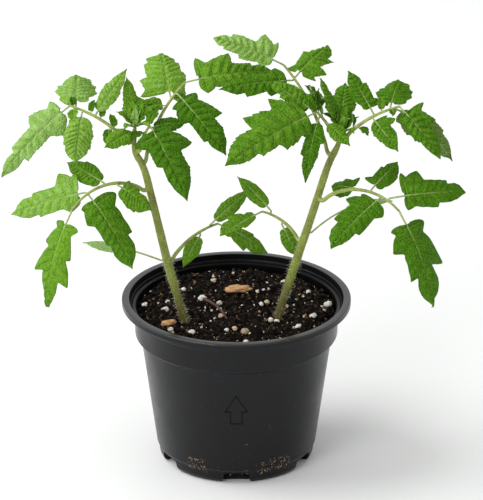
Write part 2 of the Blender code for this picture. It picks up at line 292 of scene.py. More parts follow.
def wall_radius(z):
    """Outside radius of the tapering wall at a height."""
    share = (z - WALL_FOOT_Z) / (WALL_TOP_Z - WALL_FOOT_Z)
    return BODY_FOOT_RADIUS + (BODY_TOP_RADIUS - BODY_FOOT_RADIUS) * share


def applied(piece):
    """The piece with its modifiers applied, as a plain mesh of its own."""
    mesh = bpy.data.meshes.new_from_object(piece.evaluated_get(bpy.context.evaluated_depsgraph_get()))
    piece.modifiers.clear()
    piece.data = mesh
    return piece


# From the middle of the floor up the inside, over the rim and down the outside.
pot_profile = rounded([
    (0, POT_FLOOR),
    (FOOT_RADIUS - 0.6 * MM, POT_FLOOR),
    (39.6 * MM, 5.2 * MM),
    (BODY_FOOT_RADIUS - WALL, 8.6 * MM),
    (BODY_TOP_RADIUS - WALL, SHOULDER_Z - 1.8 * MM),
    (COLLAR_RADIUS - WALL - 0.2 * MM, SHOULDER_Z + 0.6 * MM),
    (COLLAR_RADIUS - WALL + 0.3 * MM, RIM_Z - 4.4 * MM),
    (RIM_RADIUS - RIM_BAND - 1.2 * MM, RIM_Z - 4.0 * MM),
    (RIM_RADIUS - RIM_BAND, RIM_Z),
    (RIM_RADIUS, RIM_Z),
    (RIM_RADIUS, RIM_Z - RIM_SKIRT),
    (RIM_RADIUS - 1.0 * MM, RIM_Z - RIM_SKIRT),
    (COLLAR_RADIUS + 1.6 * MM, RIM_Z - RIM_SKIRT + 0.4 * MM),
    (COLLAR_RADIUS + 1.0 * MM, RIM_Z - 7.0 * MM),
    (COLLAR_RADIUS + 0.1 * MM, RIM_Z - 7.5 * MM),
    (COLLAR_RADIUS - 0.3 * MM, SHOULDER_Z + 0.2 * MM),
    (BODY_TOP_RADIUS, WALL_TOP_Z),
    (BODY_FOOT_RADIUS, WALL_FOOT_Z),
    (41.3 * MM, 7.2 * MM),
    (40.6 * MM, 2.4 * MM),
    (39.4 * MM, 0.5 * MM),
    (FOOT_RADIUS, 0),
    (0, 0),
], CORNER_EASE)

pot_finish, tree, shader = finish_tree("pot_black_plastic", 0.42)
place = object_place(tree)
cloud = noise_value(tree, place, 60, 4)
grain = noise_value(tree, place, 2600, 2)
dust = faded(tree, noise_value(tree, place, 420, 6, 0.7), 0.62, 0.74)
black = ramp(tree, cloud, (0.3, (0.0006, 0.0006, 0.0012)), (0.7, (0.0018, 0.0020, 0.0036)))
height = add_node(tree, "ShaderNodeSeparateXYZ", Vector=place).outputs["Z"]
feed(tree, shader, Base_Color=mixed(tree, times(tree, dust, 0.35), black, (0.16, 0.13, 0.10)),
     Roughness=faded(tree, cloud, 0.25, 0.75, 0.26, 0.38), Specular_IOR_Level=0.25, Coat_Roughness=0.25,
     Coat_Weight=faded(tree, height, RIM_Z - 1.2 * MM, RIM_Z - 0.1 * MM, 0.0, RIM_SHINE))
bumped(tree, shader, plus(tree, grain, times(tree, cloud, 3.0)), 0.00006, 0.35)

points = [(0, 0, pot_profile[0][1])]
for radius, height in pot_profile[1:-1]:
    points += ring_points(radius, height, POT_SIDES)
points.append((0, 0, pot_profile[-1][1]))
pot = new_piece("pot_shell", points, turned_faces(len(pot_profile) - 2, POT_SIDES), [pot_finish])
notch_cutters = []
for index in range(NOTCHES):
    shape = bmesh.new()
    bmesh.ops.create_cube(shape, size=1.0)
    for corner in shape.verts:
        upper = corner.co.z > 0
        across = NOTCH_TOP_HALF if upper else NOTCH_FOOT_HALF
        corner.co.x = FOOT_RADIUS + NOTCH_BITE[corner.co.x > 0]
        corner.co.y = math.copysign(across, corner.co.y)
        corner.co.z = NOTCH_HEIGHT if upper else -NOTCH_BELOW
    upright_edges = [e for e in shape.edges if all(v.co.z > 0 for v in e.verts)
                     and abs(e.verts[0].co.y - e.verts[1].co.y) < MM]
    bmesh.ops.bevel(shape, geom=upright_edges, offset=NOTCH_CORNER, segments=4, affect="EDGES", profile=0.5)
    bmesh.ops.rotate(shape, verts=shape.verts, cent=(0, 0, 0), matrix=Matrix.Rotation(
        math.radians(-90 + index * 360 / NOTCHES), 3, "Z"))
    mesh = bpy.data.meshes.new(f"notch_cutter_{index + 1}")
    shape.to_mesh(mesh)
    shape.free()
    cutter = in_scene(mesh.name, mesh)
    notch_cutters.append(cutter)
    notch = pot.modifiers.new(mesh.name, "BOOLEAN")
    notch.solver = "EXACT"
    notch.object = cutter
applied(pot)
for cutter in notch_cutters:
    bpy.data.objects.remove(cutter, do_unlink=True)

arrow_corners = [(0, ARROW_TIP_Z), (ARROW_HEAD_HALF, ARROW_HEAD_Z), (ARROW_SHAFT_HALF, ARROW_HEAD_Z),
                 (ARROW_SHAFT_HALF, ARROW_FOOT_Z), (-ARROW_SHAFT_HALF, ARROW_FOOT_Z),
                 (-ARROW_SHAFT_HALF, ARROW_HEAD_Z), (-ARROW_HEAD_HALF, ARROW_HEAD_Z)]


def mottled(name, roughness, per_metre, detail, *stops, sheen=0.5, relief=0.0):
    """A finish whose colour follows a fine noise. Its relief is in metres."""
    material, tree, shader = finish_tree(name, roughness)
    grain = noise_value(tree, object_place(tree), per_metre, detail)
    feed(tree, shader, Base_Color=ramp(tree, grain, *stops), Specular_IOR_Level=sheen)
    if relief:
        bumped(tree, shader, grain, relief)
    return material


def on_wall(x, z, lift):
    """A point of the front wall, lifted off it."""
    radius = wall_radius(z) + lift
    turn = x / radius
    return (radius * math.sin(turn), -radius * math.cos(turn), z)


def offset_corners(corners, distance):
    """A closed outline moved outwards by a distance, with mitred corners."""
    moved = []
    for index, corner in enumerate(corners):
        c = Vector(corner)
        b = Vector(corners[index - 1])
        a = Vector(corners[(index + 1) % len(corners)])
        first, second = (c - b).normalized(), (a - c).normalized()
        normal_one, normal_two = Vector((-first.y, first.x)), Vector((-second.y, second.x))
        mitre = (normal_one + normal_two).normalized()
        moved.append(c + mitre * distance / max(mitre.dot(normal_one), 0.3))
    return moved


outer_line = offset_corners(arrow_corners, ARROW_LINE / 2)
inner_line = offset_corners(arrow_corners, -ARROW_LINE / 2)
points = []
for outer, inner in zip(outer_line, inner_line):
    points += [on_wall(outer.x, outer.y, ARROW_SINK), on_wall(outer.x, outer.y, ARROW_RAISE),
               on_wall(inner.x, inner.y, ARROW_RAISE), on_wall(inner.x, inner.y, ARROW_SINK)]
faces = []
for index in range(len(arrow_corners)):
    low, high = 4 * index, 4 * ((index + 1) % len(arrow_corners))
    for side in range(4):
        after = (side + 1) % 4
        faces.append((low + side, high + side, high + after, low + after))
# Painted shade: the arrow's outline is darker and less shiny than the wall, standing in for the shade along
# the moulded line.
arrow_painted_shade_finish = mottled("pot_arrow_line", 0.5, 300, 3, (0.3, (0.0006, 0.0006, 0.001)),
                       (0.7, (0.0016, 0.0016, 0.0024)), sheen=0.09)
arrow = new_piece("pot_arrow", points, faces, [arrow_painted_shade_finish], smooth=False)
shape = bmesh.new()
shape.from_mesh(arrow.data)
bmesh.ops.recalc_face_normals(shape, faces=shape.faces)
shape.to_mesh(arrow.data)
shape.free()
settle(arrow, [])

# Painted shade: the inside wall gets a dull finish that reflects little, so it reads near black like the
# shade inside the pot.
inside_painted_shade_finish = mottled("pot_inside_matt", 0.6, 120, 4, (0.3, (0.0008, 0.0008, 0.001)),
                        (0.7, (0.003, 0.0028, 0.0026)), sheen=0.05, relief=0.0001)
pot.data.materials.append(inside_painted_shade_finish)
shape = bmesh.new()
shape.from_mesh(pot.data)
for face in shape.faces:
    middle = face.calc_center_median()
    if face.normal.x * middle.x + face.normal.y * middle.y < -0.3 * math.hypot(middle.x, middle.y):
        face.material_index = 1
for edge in shape.edges:
    if len(edge.link_faces) == 2 and edge.calc_face_angle(0) > math.radians(SHARP_EDGE):
        edge.smooth = False
shape.to_mesh(pot.data)
shape.free()
settle(pot, ["pot"])


# ======== Potting mix ========
# Dark peat and bark crumbs filled to just below the rim, with white perlite all through it,
# chips of pale bark, a rounded stone and a thin dead twig lying on top.

_, soil_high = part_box("soil")
SOIL_RADIUS = soil_high.x - 0.1 * MM
SOIL_TOP = soil_high.z
SOIL_RINGS = 60
SOIL_SIDES = 220
# The hidden side of the mix, just inside the pot's wall.
SOIL_SIDE = ((SOIL_RADIUS, 70.4 * MM), (48.2 * MM, 67.4 * MM), (40.2 * MM, 8.8 * MM), (35.6 * MM, 2.0 * MM))
CRUMBS_PER_SQUARE_METRE = 190000.0
CRUMB_SIZE = (0.7 * MM, 4.6 * MM)
CRUMB_ROUGHNESS = 1.6 * MM
PERLITE_PER_SQUARE_METRE = 42000.0
PERLITE_SIZE = (0.4 * MM, 2.0 * MM)
PERLITE_ROUGHNESS = 0.5 * MM
BARK_CRUMBS_PER_SQUARE_METRE = 9000.0
BARK_CRUMB_SIZE = (0.6 * MM, 2.0 * MM)


def soil_height(x, y):
    """Lumpy surface of the mix, lowest along the wall."""
    edge = max(0.0, math.hypot(x, y) / SOIL_RADIUS - 0.9) * 10
    lumps = noise.noise(Vector((x, y, 0)) * 90) * 1.9 + noise.noise(Vector((x, y, 7)) * 260) * 1.7
    return SOIL_TOP - 1.2 * MM + lumps * MM - edge * 1.2 * MM


points = [(0, 0, soil_height(0, 0))]
for ring in range(1, SOIL_RINGS + 1):
    on_ring = ring_points(SOIL_RADIUS * ring / SOIL_RINGS, 0, SOIL_SIDES)
    points += [(x, y, soil_height(x, y)) for x, y, _ in on_ring]
for radius, height in SOIL_SIDE:
    points += ring_points(radius, height, SOIL_SIDES)
points.append((0, 0, SOIL_SIDE[-1][1]))
faces = turned_faces(SOIL_RINGS + len(SOIL_SIDE), SOIL_SIDES)

peat_and_painted_shade_finish, tree, shader = finish_tree("potting_mix_peat", 0.95)
place = object_place(tree)
fine = noise_value(tree, place, 900, 6, 0.7)
patch = noise_value(tree, place, 420, 3, 0.6)
# The near-black stops of the ramp are painted shade for the gaps between crumbs; the browns and tans are the
# mix's own colour.
feed(tree, shader, Specular_IOR_Level=0.15, Base_Color=ramp(
    tree, plus(tree, times(tree, fine, 0.4), times(tree, patch, 0.6)),
    (0.40, (0.0012, 0.001, 0.0008)), (0.53, (0.006, 0.004, 0.003)), (0.585, (0.035, 0.020, 0.011)),
    (0.63, (0.17, 0.10, 0.052)), (0.70, (0.50, 0.34, 0.20))))
bumped(tree, shader, fine, 0.0006)

perlite_finish, tree, shader = finish_tree("perlite_white", 0.85)
place = object_place(tree)
pits = noise_value(tree, place, 1500, 5, 0.65)
warm = faded(tree, noise_value(tree, place, 190, 1), 0.52, 0.62)
chalk = ramp(tree, pits, (0.32, (0.42, 0.36, 0.28)), (0.5, (0.78, 0.75, 0.69)), (0.7, (0.93, 0.92, 0.89)))
feed(tree, shader, Base_Color=mixed(tree, times(tree, warm, 0.75), chalk, (0.62, 0.42, 0.24)))
bumped(tree, shader, pits, 0.0003)

soil = new_piece("potting_mix", points, faces, [peat_and_painted_shade_finish])
settle(soil, ["soil"])


def growth_tree(name, *sizes):
    """A Geometry Nodes tree that strews points over a surface, with its sizes as named inputs."""
    group = bpy.data.node_groups.new(name, "GeometryNodeTree")
    inputs = [("Geometry", "Geometry"), ("Density", "Float"), ("Seed", "Int"), ("Finish", "Material")]
    for label, kind in inputs + [(size, "Float") for size in sizes]:
        group.interface.new_socket(label, in_out="INPUT", socket_type=f"NodeSocket{kind}")
    group.interface.new_socket("Geometry", in_out="OUTPUT", socket_type="NodeSocketGeometry")
    given = group.nodes.new("NodeGroupInput").outputs
    strewn = add_node(group, "GeometryNodeDistributePointsOnFaces", Mesh=given["Geometry"],
                      Density=given["Density"], Seed=given["Seed"])
    return group, given, strewn.outputs


def made_real(group, points, thing, rotation, scale):
    """Puts a thing on every point, as a real mesh."""
    placed = add_node(group, "GeometryNodeInstanceOnPoints", Points=points, Instance=thing, Rotation=rotation,
                      Scale=scale)
    return add_node(group, "GeometryNodeRealizeInstances", Geometry=placed.outputs["Instances"]).outputs[0]


def coated(group, given, shape):
    """Ends the tree: the shape in the finish that was given."""
    whole = add_node(group, "GeometryNodeSetMaterial", Geometry=shape, Material=given["Finish"])
    add_node(group, "NodeGroupOutput", Geometry=whole.outputs["Geometry"])
    return group


def random_value(group, kind, **inputs):
    return add_node(group, "FunctionNodeRandomValue", {"data_type": kind}, **inputs).outputs


def scatter_tree(name):
    """Crumbs strewn over a surface: squeezed and turned balls, roughened by a fine noise."""
    group, given, strewn = growth_tree(name, "Smallest", "Largest", "Roughening")
    ball = add_node(group, "GeometryNodeMeshIcoSphere", Radius=0.5, Subdivisions=2)
    turn = random_value(group, "FLOAT_VECTOR", i1=(6.283, 6.283, 6.283))
    size = random_value(group, "FLOAT", i2=given["Smallest"], i3=given["Largest"], Seed=given["Seed"])
    squeeze = random_value(group, "FLOAT_VECTOR", i0=(0.6, 0.6, 0.45), i1=(1.3, 1.1, 0.9))
    scale = add_node(group, "ShaderNodeVectorMath", {"operation": "SCALE"}, i0=squeeze[0], Scale=size[1])
    crumbs = made_real(group, strewn["Points"], ball.outputs["Mesh"], turn[0], scale.outputs[0])
    rough = add_node(group, "ShaderNodeTexNoise", Scale=900.0, Detail=2.0)
    centred = add_node(group, "ShaderNodeVectorMath", {"operation": "SUBTRACT"}, i0=rough.outputs["Color"],
                       i1=(0.5, 0.5, 0.5))
    shift = add_node(group, "ShaderNodeVectorMath", {"operation": "SCALE"}, i0=centred.outputs[0],
                     Scale=given["Roughening"])
    moved = add_node(group, "GeometryNodeSetPosition", Geometry=crumbs, Offset=shift.outputs[0])
    return coated(group, given, moved.outputs["Geometry"])


def grown(name, surface, group, **values):
    """Runs a Geometry Nodes tree on a surface's mesh and returns the result as a plain piece."""
    piece = in_scene(name, surface)
    modifier = piece.modifiers.new(name, "NODES")
    modifier.node_group = group
    for item in group.interface.items_tree:
        if item.in_out == "INPUT" and item.name in values:
            modifier[item.identifier] = values[item.name]
    applied(piece)
    piece.data.name = name
    return piece


def strewn_bits(name, surface, density, sizes, roughening, seed, finish):
    """Crumbs of one kind over a surface; density is per square metre."""
    return grown(name, surface, strewing, Density=density, Smallest=sizes[0], Largest=sizes[1],
                 Roughening=roughening, Seed=seed, Finish=finish)


top_points = points[:1 + SOIL_RINGS * SOIL_SIDES]
top_faces = [f for f in faces if max(f) < len(top_points)]
soil_top = bpy.data.meshes.new("soil_top")
soil_top.from_pydata(top_points, [], top_faces)
strewing = scatter_tree("strewn_crumbs")
crumbs = strewn_bits("peat_crumbs", soil_top, CRUMBS_PER_SQUARE_METRE, CRUMB_SIZE, CRUMB_ROUGHNESS, 3,
                     peat_and_painted_shade_finish)
settle(crumbs, [])
perlite = strewn_bits("perlite", soil_top, PERLITE_PER_SQUARE_METRE, PERLITE_SIZE, PERLITE_ROUGHNESS, 11,
                      perlite_finish)
settle(perlite, [])

# Larger lumps that lie on top: place on the mix and size in millimetres, and turn about +Z in degrees.
PERLITE_LUMPS = [
    (-48, 3, 3.4, 60), (-37, -4, 3.2, 10), (-36, 6, 2.6, 30), (-18, 9, 4.6, 80), (-9, 4, 2.8, 0),
    (-9, -3, 3.0, 50), (-8, -12, 2.6, 15), (-12, 32, 2.8, 0), (0, 32, 2.6, 40), (11, 20, 2.4, 70),
    (16, 7, 3.0, 20), (13, 1, 2.8, 90), (18, -16, 3.2, 30), (21, -20, 2.8, 0), (32, -25, 3.0, 45),
    (40, -15, 3.4, 10), (38, 18, 2.8, 60), (48, 3, 4.2, 25), (-1, -29, 2.8, 0), (-5, -31, 2.6, 35),
    (-23, -33, 3.2, 0), (-34, -31, 2.8, 50), (5, -42, 2.6, 0), (25, 30, 2.6, 20), (-28, 22, 2.6, 0),
]
LUMP_DETAIL = 3
PERLITE_LUMP_ROUGHNESS = 0.34


def lump(name, size, place, turn, finish, seed, roughening):
    """An irregular closed lump: a ball squeezed to size and roughened by seeded noise."""
    shape = bmesh.new()
    bmesh.ops.create_icosphere(shape, subdivisions=LUMP_DETAIL, radius=1.0)
    turned_by = math.radians(turn)
    for vertex in shape.verts:
        away = vertex.co.normalized()
        reach = 1 + roughening * noise.noise(away * 1.7 + Vector((seed, 0, 0)))
        reach += roughening * 0.5 * noise.noise(away * 4.5 + Vector((0, seed, 0)))
        x, y, z = (away[i] * reach * size[i] / 2 for i in range(3))
        vertex.co = (place[0] + x * math.cos(turned_by) - y * math.sin(turned_by),
                     place[1] + x * math.sin(turned_by) + y * math.cos(turned_by), place[2] + z)
    mesh = bpy.data.meshes.new(name)
    shape.to_mesh(mesh)
    shape.free()
    mesh.materials.append(finish)
    mesh.polygons.foreach_set("use_smooth", [True] * len(mesh.polygons))
    return in_scene(name, mesh)


def joined(name, pieces):
    """Several mesh pieces as one."""
    shape = bmesh.new()
    finishes = []
    for piece in pieces:
        start = len(shape.faces)
        shape.from_mesh(piece.data)
        shape.faces.ensure_lookup_table()
        for finish in piece.data.materials:
            if finish not in finishes:
                finishes.append(finish)
        for face in shape.faces[start:]:
            face.material_index = finishes.index(piece.data.materials[face.material_index])
        bpy.data.objects.remove(piece, do_unlink=True)
    mesh = bpy.data.meshes.new(name)
    shape.to_mesh(mesh)
    shape.free()
    for finish in finishes:
        mesh.materials.append(finish)
    return in_scene(name, mesh)


lumps = []
for index, (x, y, size, turn) in enumerate(PERLITE_LUMPS):
    rest = soil_height(x * MM, y * MM) + (0.5 + size * 0.25) * MM
    lumps.append(lump(f"perlite_lump_{index}", (size * 1.1 * MM, size * 0.9 * MM, size * 0.8 * MM),
                      (x * MM, y * MM, rest), turn, perlite_finish, index * 3.1, PERLITE_LUMP_ROUGHNESS))
settle(joined("perlite_lumps", lumps), [])

# Sizes and places of the two chips of bark and of the stone, all half sunk in the mix.
LARGE_CHIP_SIZE = (13.2 * MM, 6.6 * MM, 3.4 * MM)
SMALL_CHIP_SIZE = (9.0 * MM, 5.0 * MM, 2.6 * MM)
SMALL_CHIP_PLACE = (-35 * MM, -22 * MM)
CHIP_ROUGHNESS = 0.42
STONE_SIZE = (4.6 * MM, 4.0 * MM, 3.4 * MM)
STONE_PLACE = (4.5 * MM, -33 * MM)
STONE_ROUGHNESS = 0.12

bark_finish, tree, shader = finish_tree("bark_orange", 0.85)
place = object_place(tree)
fibre = add_node(tree, "ShaderNodeMapping", Vector=place, Scale=(0.25, 1.6, 1.6))
streak = noise_value(tree, fibre.outputs[0], 900, 5, 0.6)
feed(tree, shader, Base_Color=ramp(tree, streak, (0.30, (0.14, 0.055, 0.02)), (0.46, (0.47, 0.24, 0.10)),
                                   (0.62, (0.66, 0.40, 0.19)), (0.8, (0.76, 0.57, 0.35))))
bumped(tree, shader, streak, 0.0004)

bark_low, bark_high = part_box("bark_chip")
bark_middle = (bark_low + bark_high) / 2
bark_chip = lump("bark_chip_large", LARGE_CHIP_SIZE, (*bark_middle.xy, bark_middle.z + 0.6 * MM), 8,
                 bark_finish, 2.0, CHIP_ROUGHNESS)
settle(bark_chip, ["bark_chip"])
small_chip = lump("bark_chip_small", SMALL_CHIP_SIZE,
                  (*SMALL_CHIP_PLACE, soil_height(*SMALL_CHIP_PLACE) + 1.4 * MM), 35,
                  bark_finish, 9.0, CHIP_ROUGHNESS)
settle(small_chip, [])
bark_crumbs = strewn_bits("bark_crumbs", soil_top, BARK_CRUMBS_PER_SQUARE_METRE, BARK_CRUMB_SIZE,
                          CRUMB_ROUGHNESS, 23, bark_finish)
settle(bark_crumbs, [])


def tube_mesh(line, sides, shaped=None):
    """Points and faces of a closed tube on a line of (point, radius), with softly pointed ends."""
    middles = [Vector(p) for p, r in line]
    last = len(middles) - 1
    points, faces = [], []
    across = (middles[1] - middles[0]).normalized().orthogonal().normalized()
    travelled = 0.0
    for index, (middle, (_, radius)) in enumerate(zip(middles, line)):
        ahead = (middles[min(index + 1, last)] - middles[max(index - 1, 0)]).normalized()
        across = (across - ahead * across.dot(ahead)).normalized()
        other = ahead.cross(across)
        if index:
            travelled += (middle - middles[index - 1]).length
        for side in range(sides):
            turn = 2 * math.pi * side / sides
            reach = radius * (shaped(travelled, turn) if shaped else 1.0)
            points.append(middle + (across * math.cos(turn) + other * math.sin(turn)) * reach)
    for low in range(0, last * sides, sides):
        for side in range(sides):
            after = (side + 1) % sides
            faces.append((low + side, low + after, low + sides + after, low + sides + side))
    for end, before in ((0, 1), (last, last - 1)):
        outward = (middles[end] - middles[before]).normalized()
        points.append(middles[end] + outward * line[end][1] * 0.5)
        for side in range(sides):
            pair = (end * sides + side, end * sides + (side + 1) % sides)
            faces.append((*(pair if end else pair[::-1]), len(points) - 1))
    return points, faces


TWIG_ENDS = ((-17.0 * MM, 5.0 * MM), (-5.0 * MM, -20.0 * MM))
TWIG_RADIUS = 0.7 * MM
TWIG_STEPS = 14
TWIG_SIDES = 8

twig_finish = mottled("twig_red_brown", 0.6, 800, 3, (0.35, (0.030, 0.012, 0.008)),
                      (0.65, (0.12, 0.045, 0.025)), relief=0.0002)
line = []
for step in range(TWIG_STEPS + 1):
    t = step / TWIG_STEPS
    x, y = (TWIG_ENDS[0][i] * (1 - t) + TWIG_ENDS[1][i] * t for i in range(2))
    bow = math.sin(math.pi * t)
    line.append((Vector((x + 1.2 * MM * bow, y, SOIL_TOP + (1.8 + 1.0 * bow) * MM)),
                 TWIG_RADIUS * (1.2 - 0.5 * t)))
settle(new_piece("dead_twig", *tube_mesh(line, TWIG_SIDES), [twig_finish]), [])

stone_finish = mottled("stone_tan", 0.7, 700, 4, (0.35, (0.22, 0.14, 0.08)), (0.65, (0.45, 0.33, 0.22)),
                       relief=0.0001)
stone = lump("rounded_stone", STONE_SIZE, (*STONE_PLACE, soil_height(*STONE_PLACE) + MM), 20,
             stone_finish, 5.0, STONE_ROUGHNESS)
settle(stone, [])

# Dried mix clings in patches low on the front of the pot: each patch's first and last angle from the
# middle in degrees, its lowest and highest point in millimetres, its seed and its specks per square metre.
SPECK_PATCHES = ((-37, -22, 4, 14, 16, 1300000.0), (18, 42, 3, 14, 17, 900000.0),
                 (-20, 20, 5, 11, 18, 150000.0))
SPECK_SIZE = (0.25 * MM, 0.9 * MM)
SPECK_ROUGHNESS = 0.5 * MM
PATCH_COLUMNS = 7
PATCH_SINK = -0.1 * MM
# Below this height the pot's wall turns in to the foot.
FOOT_TURN_Z = 7.5 * MM
FOOT_TURN_IN = 0.972

speck_finish = mottled("dried_mix", 0.9, 1300, 2, (0.35, (0.012, 0.007, 0.004)), (0.5, (0.14, 0.085, 0.045)),
                       (0.65, (0.50, 0.36, 0.22)))
specks = []
for first, last, low, high, seed, density in SPECK_PATCHES:
    points = [on_wall(math.radians(turn) * BODY_FOOT_RADIUS, z * MM, PATCH_SINK)
              for z in (low, (low + high) / 2, high) for turn in np.linspace(first, last, PATCH_COLUMNS)]
    points = [p if p[2] > FOOT_TURN_Z else (p[0] * FOOT_TURN_IN, p[1] * FOOT_TURN_IN, p[2]) for p in points]
    corners = [PATCH_COLUMNS * row + column for row in range(2) for column in range(PATCH_COLUMNS - 1)]
    faces = [(c, c + 1, c + PATCH_COLUMNS + 1, c + PATCH_COLUMNS) for c in corners]
    patch = bpy.data.meshes.new("speck_patch")
    patch.from_pydata(points, [], faces)
    specks.append(strewn_bits(f"dried_specks_{seed}", patch, density, SPECK_SIZE, SPECK_ROUGHNESS, seed,
                              speck_finish))
settle(joined("dried_specks", specks), [])


# ======== Stems ========
# Two soft green seedling stems planted a few centimetres apart. They thin from a 5 mm foot to the
# growing tip, swell a little where each leaf stalk leaves, and carry fine pale hairs.

STEM_SIDES = 28
STEM_STEPS = 10
HAIRS_PER_SQUARE_METRE = 620000.0
HAIR_LENGTH = (0.7 * MM, 2.1 * MM)
HAIR_RADIUS = 0.05 * MM
# The foot of each stem browns between these heights.
BROWN_TOP_Z = 118 * MM
BROWN_FULL_Z = 78 * MM


def cad_points(node):
    """The different points of a CAD node."""
    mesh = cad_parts[node].data
    found = np.empty(len(mesh.vertices) * 3)
    mesh.vertices.foreach_get("co", found)
    return np.unique(np.round(found.reshape(-1, 3), 6), axis=0)


def tube_rings(node, near):
    """Middle and radius of each ring of a tube-shaped CAD node, from the end nearest to the given points."""
    shape = bmesh.new()
    shape.from_mesh(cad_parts[node].data)
    bmesh.ops.remove_doubles(shape, verts=shape.verts, dist=0.000001)
    shape.verts.index_update()
    near = np.asarray(near, float).reshape(-1, 3)

    def gap_to_near(vertex):
        return float(np.min(np.linalg.norm(near - np.array(vertex.co), axis=1)))

    first = min(shape.verts, key=gap_to_near)
    close, wide = ([v.co for v in shape.verts if (v.co - first.co).length < reach * MM] for reach in (6, 18))
    outward = (sum(close, Vector()) / len(close) - sum(wide, Vector()) / len(wide)).normalized()
    end_face = max(first.link_faces, key=lambda face: face.normal.dot(outward))
    ring = {v for face in shape.faces if face.normal.dot(end_face.normal) > 0.999
            for v in face.verts if abs((v.co - first.co).dot(end_face.normal)) < 0.00002}
    seen = set(ring)
    rings = []
    while ring:
        spots = [v.co for v in sorted(ring, key=lambda v: v.index)]
        middle = sum(spots, Vector()) / len(spots)
        rings.append((middle, sum((spot - middle).length for spot in spots) / len(spots)))
        ring = {e.other_vert(v) for v in ring for e in v.link_edges} - seen
        seen |= ring
    shape.free()
    return rings


def smooth_line(rings, steps):
    """Points and radii on a Catmull-Rom curve through the rings."""
    middles = [r[0] for r in rings]
    middles = [middles[0] * 2 - middles[1]] + middles + [middles[-1] * 2 - middles[-2]]
    line = []
    for index, (a, b, c, d) in enumerate(zip(middles, middles[1:], middles[2:], middles[3:])):
        for step in range(steps):
            t = step / steps
            line.append((0.5 * (2 * b + (c - a) * t + (2 * a - 5 * b + 4 * c - d) * t * t
                                + (3 * b - a - 3 * c + d) * t ** 3),
                         rings[index][1] * (1 - t) + rings[index + 1][1] * t))
    return line + [rings[-1]]


stem_finish, tree, shader = finish_tree("stem_green", 0.5)
place = object_place(tree)
stretched = add_node(tree, "ShaderNodeMapping", Vector=place, Scale=(1.0, 1.0, 0.12))
streak = noise_value(tree, stretched.outputs[0], 1800, 3)
blotch = noise_value(tree, place, 90, 3)
height = add_node(tree, "ShaderNodeSeparateXYZ", Vector=place).outputs["Z"]
green = ramp(tree, streak, (0.3, (0.15, 0.20, 0.022)), (0.7, (0.29, 0.33, 0.06)))
purple = mixed(tree, times(tree, faded(tree, blotch, 0.42, 0.66), 0.35), green, (0.12, 0.09, 0.035))
low_share = times(tree, faded(tree, height, BROWN_TOP_Z, BROWN_FULL_Z), 0.85)
feed(tree, shader, Base_Color=mixed(tree, low_share, purple, (0.075, 0.045, 0.018)),
     Subsurface_Weight=0.12, Subsurface_Radius=(0.0012, 0.0016, 0.0006), Specular_IOR_Level=0.25)
bumped(tree, shader, streak, 0.0002, 0.6)

hair_finish = mottled("plant_hair", 0.4, 300, 3, (0.3, (0.62, 0.66, 0.48)), (0.7, (0.92, 0.93, 0.84)))


def hair_tree(name):
    """Short tapering hairs that stand on a surface, each leaning a little."""
    group, given, strewn = growth_tree(name, "Shortest", "Longest", "Radius")
    hair = add_node(group, "GeometryNodeMeshCone", Vertices=3, Radius_Top=0.2, Radius_Bottom=1.0, Depth=1.0)
    lean = random_value(group, "FLOAT_VECTOR", i0=(-0.35, -0.35, 0.0), i1=(0.35, 0.35, 6.0))
    upright = add_node(group, "FunctionNodeRotateRotation", {"rotation_space": "LOCAL"},
                       Rotation=strewn["Rotation"], Rotate_By=lean[0])
    length = random_value(group, "FLOAT", i2=given["Shortest"], i3=given["Longest"])
    size = add_node(group, "ShaderNodeCombineXYZ", X=given["Radius"], Y=given["Radius"], Z=length[1])
    hairs = made_real(group, strewn["Points"], hair.outputs["Mesh"], upright.outputs[0], size.outputs[0])
    return coated(group, given, hairs)


hair_growth = hair_tree("standing_hairs")


def haired(name, skin, density, lengths, seed):
    """Hairs on a stem's or a stalk's skin; density is per square metre."""
    hairs = grown(name, skin, hair_growth, Density=density, Shortest=lengths[0], Longest=lengths[1],
                  Radius=HAIR_RADIUS, Seed=seed, Finish=hair_finish)
    settle(hairs, [])


def stem_swell(travelled, turn):
    """Soft ridges round the stem."""
    return 1 + 0.03 * math.sin(3 * turn + travelled * 60) + 0.02 * math.sin(travelled * 420)


# Share of the radius lost from three quarters of the way up to the growing tip, and down to the foot.
STEM_TAPER = 0.4
FOOT_TAPER = 0.38
FOOT_SHARE = 0.3

stem_lines = {}
for plant, seed in (("left", 5), ("right", 6)):
    rings = tube_rings(f"{plant}_stem", [(0, 0, -1)])
    line = smooth_line(rings, STEM_STEPS)
    shares = [i / (len(line) - 1) for i in range(len(line))]
    stem_lines[plant] = [(p, r * (1 - STEM_TAPER * max(0.0, 4 * share - 3))
                          * (1 - FOOT_TAPER * max(0.0, 1 - share / FOOT_SHARE)))
                         for share, (p, r) in zip(shares, line)]
    tube = tube_mesh(stem_lines[plant], STEM_SIDES, stem_swell)
    stem = new_piece(f"{plant}_stem_body", *tube, [stem_finish])
    settle(stem, [f"{plant}_stem"])
    haired(f"{plant}_stem_hairs", stem.data, HAIRS_PER_SQUARE_METRE, HAIR_LENGTH, seed)


# ======== Leaf stalks ========
# Each compound leaf hangs on a thin, soft stalk, flattened and grooved along its upper side and
# blotched with purple.

STALK_SIDES = 20
STALK_STEPS = 6
STALK_FOOT_FLARE = 1.5
STALK_HAIRS_PER_SQUARE_METRE = 500000.0
STALK_HAIR_LENGTH = (0.3 * MM, 0.9 * MM)

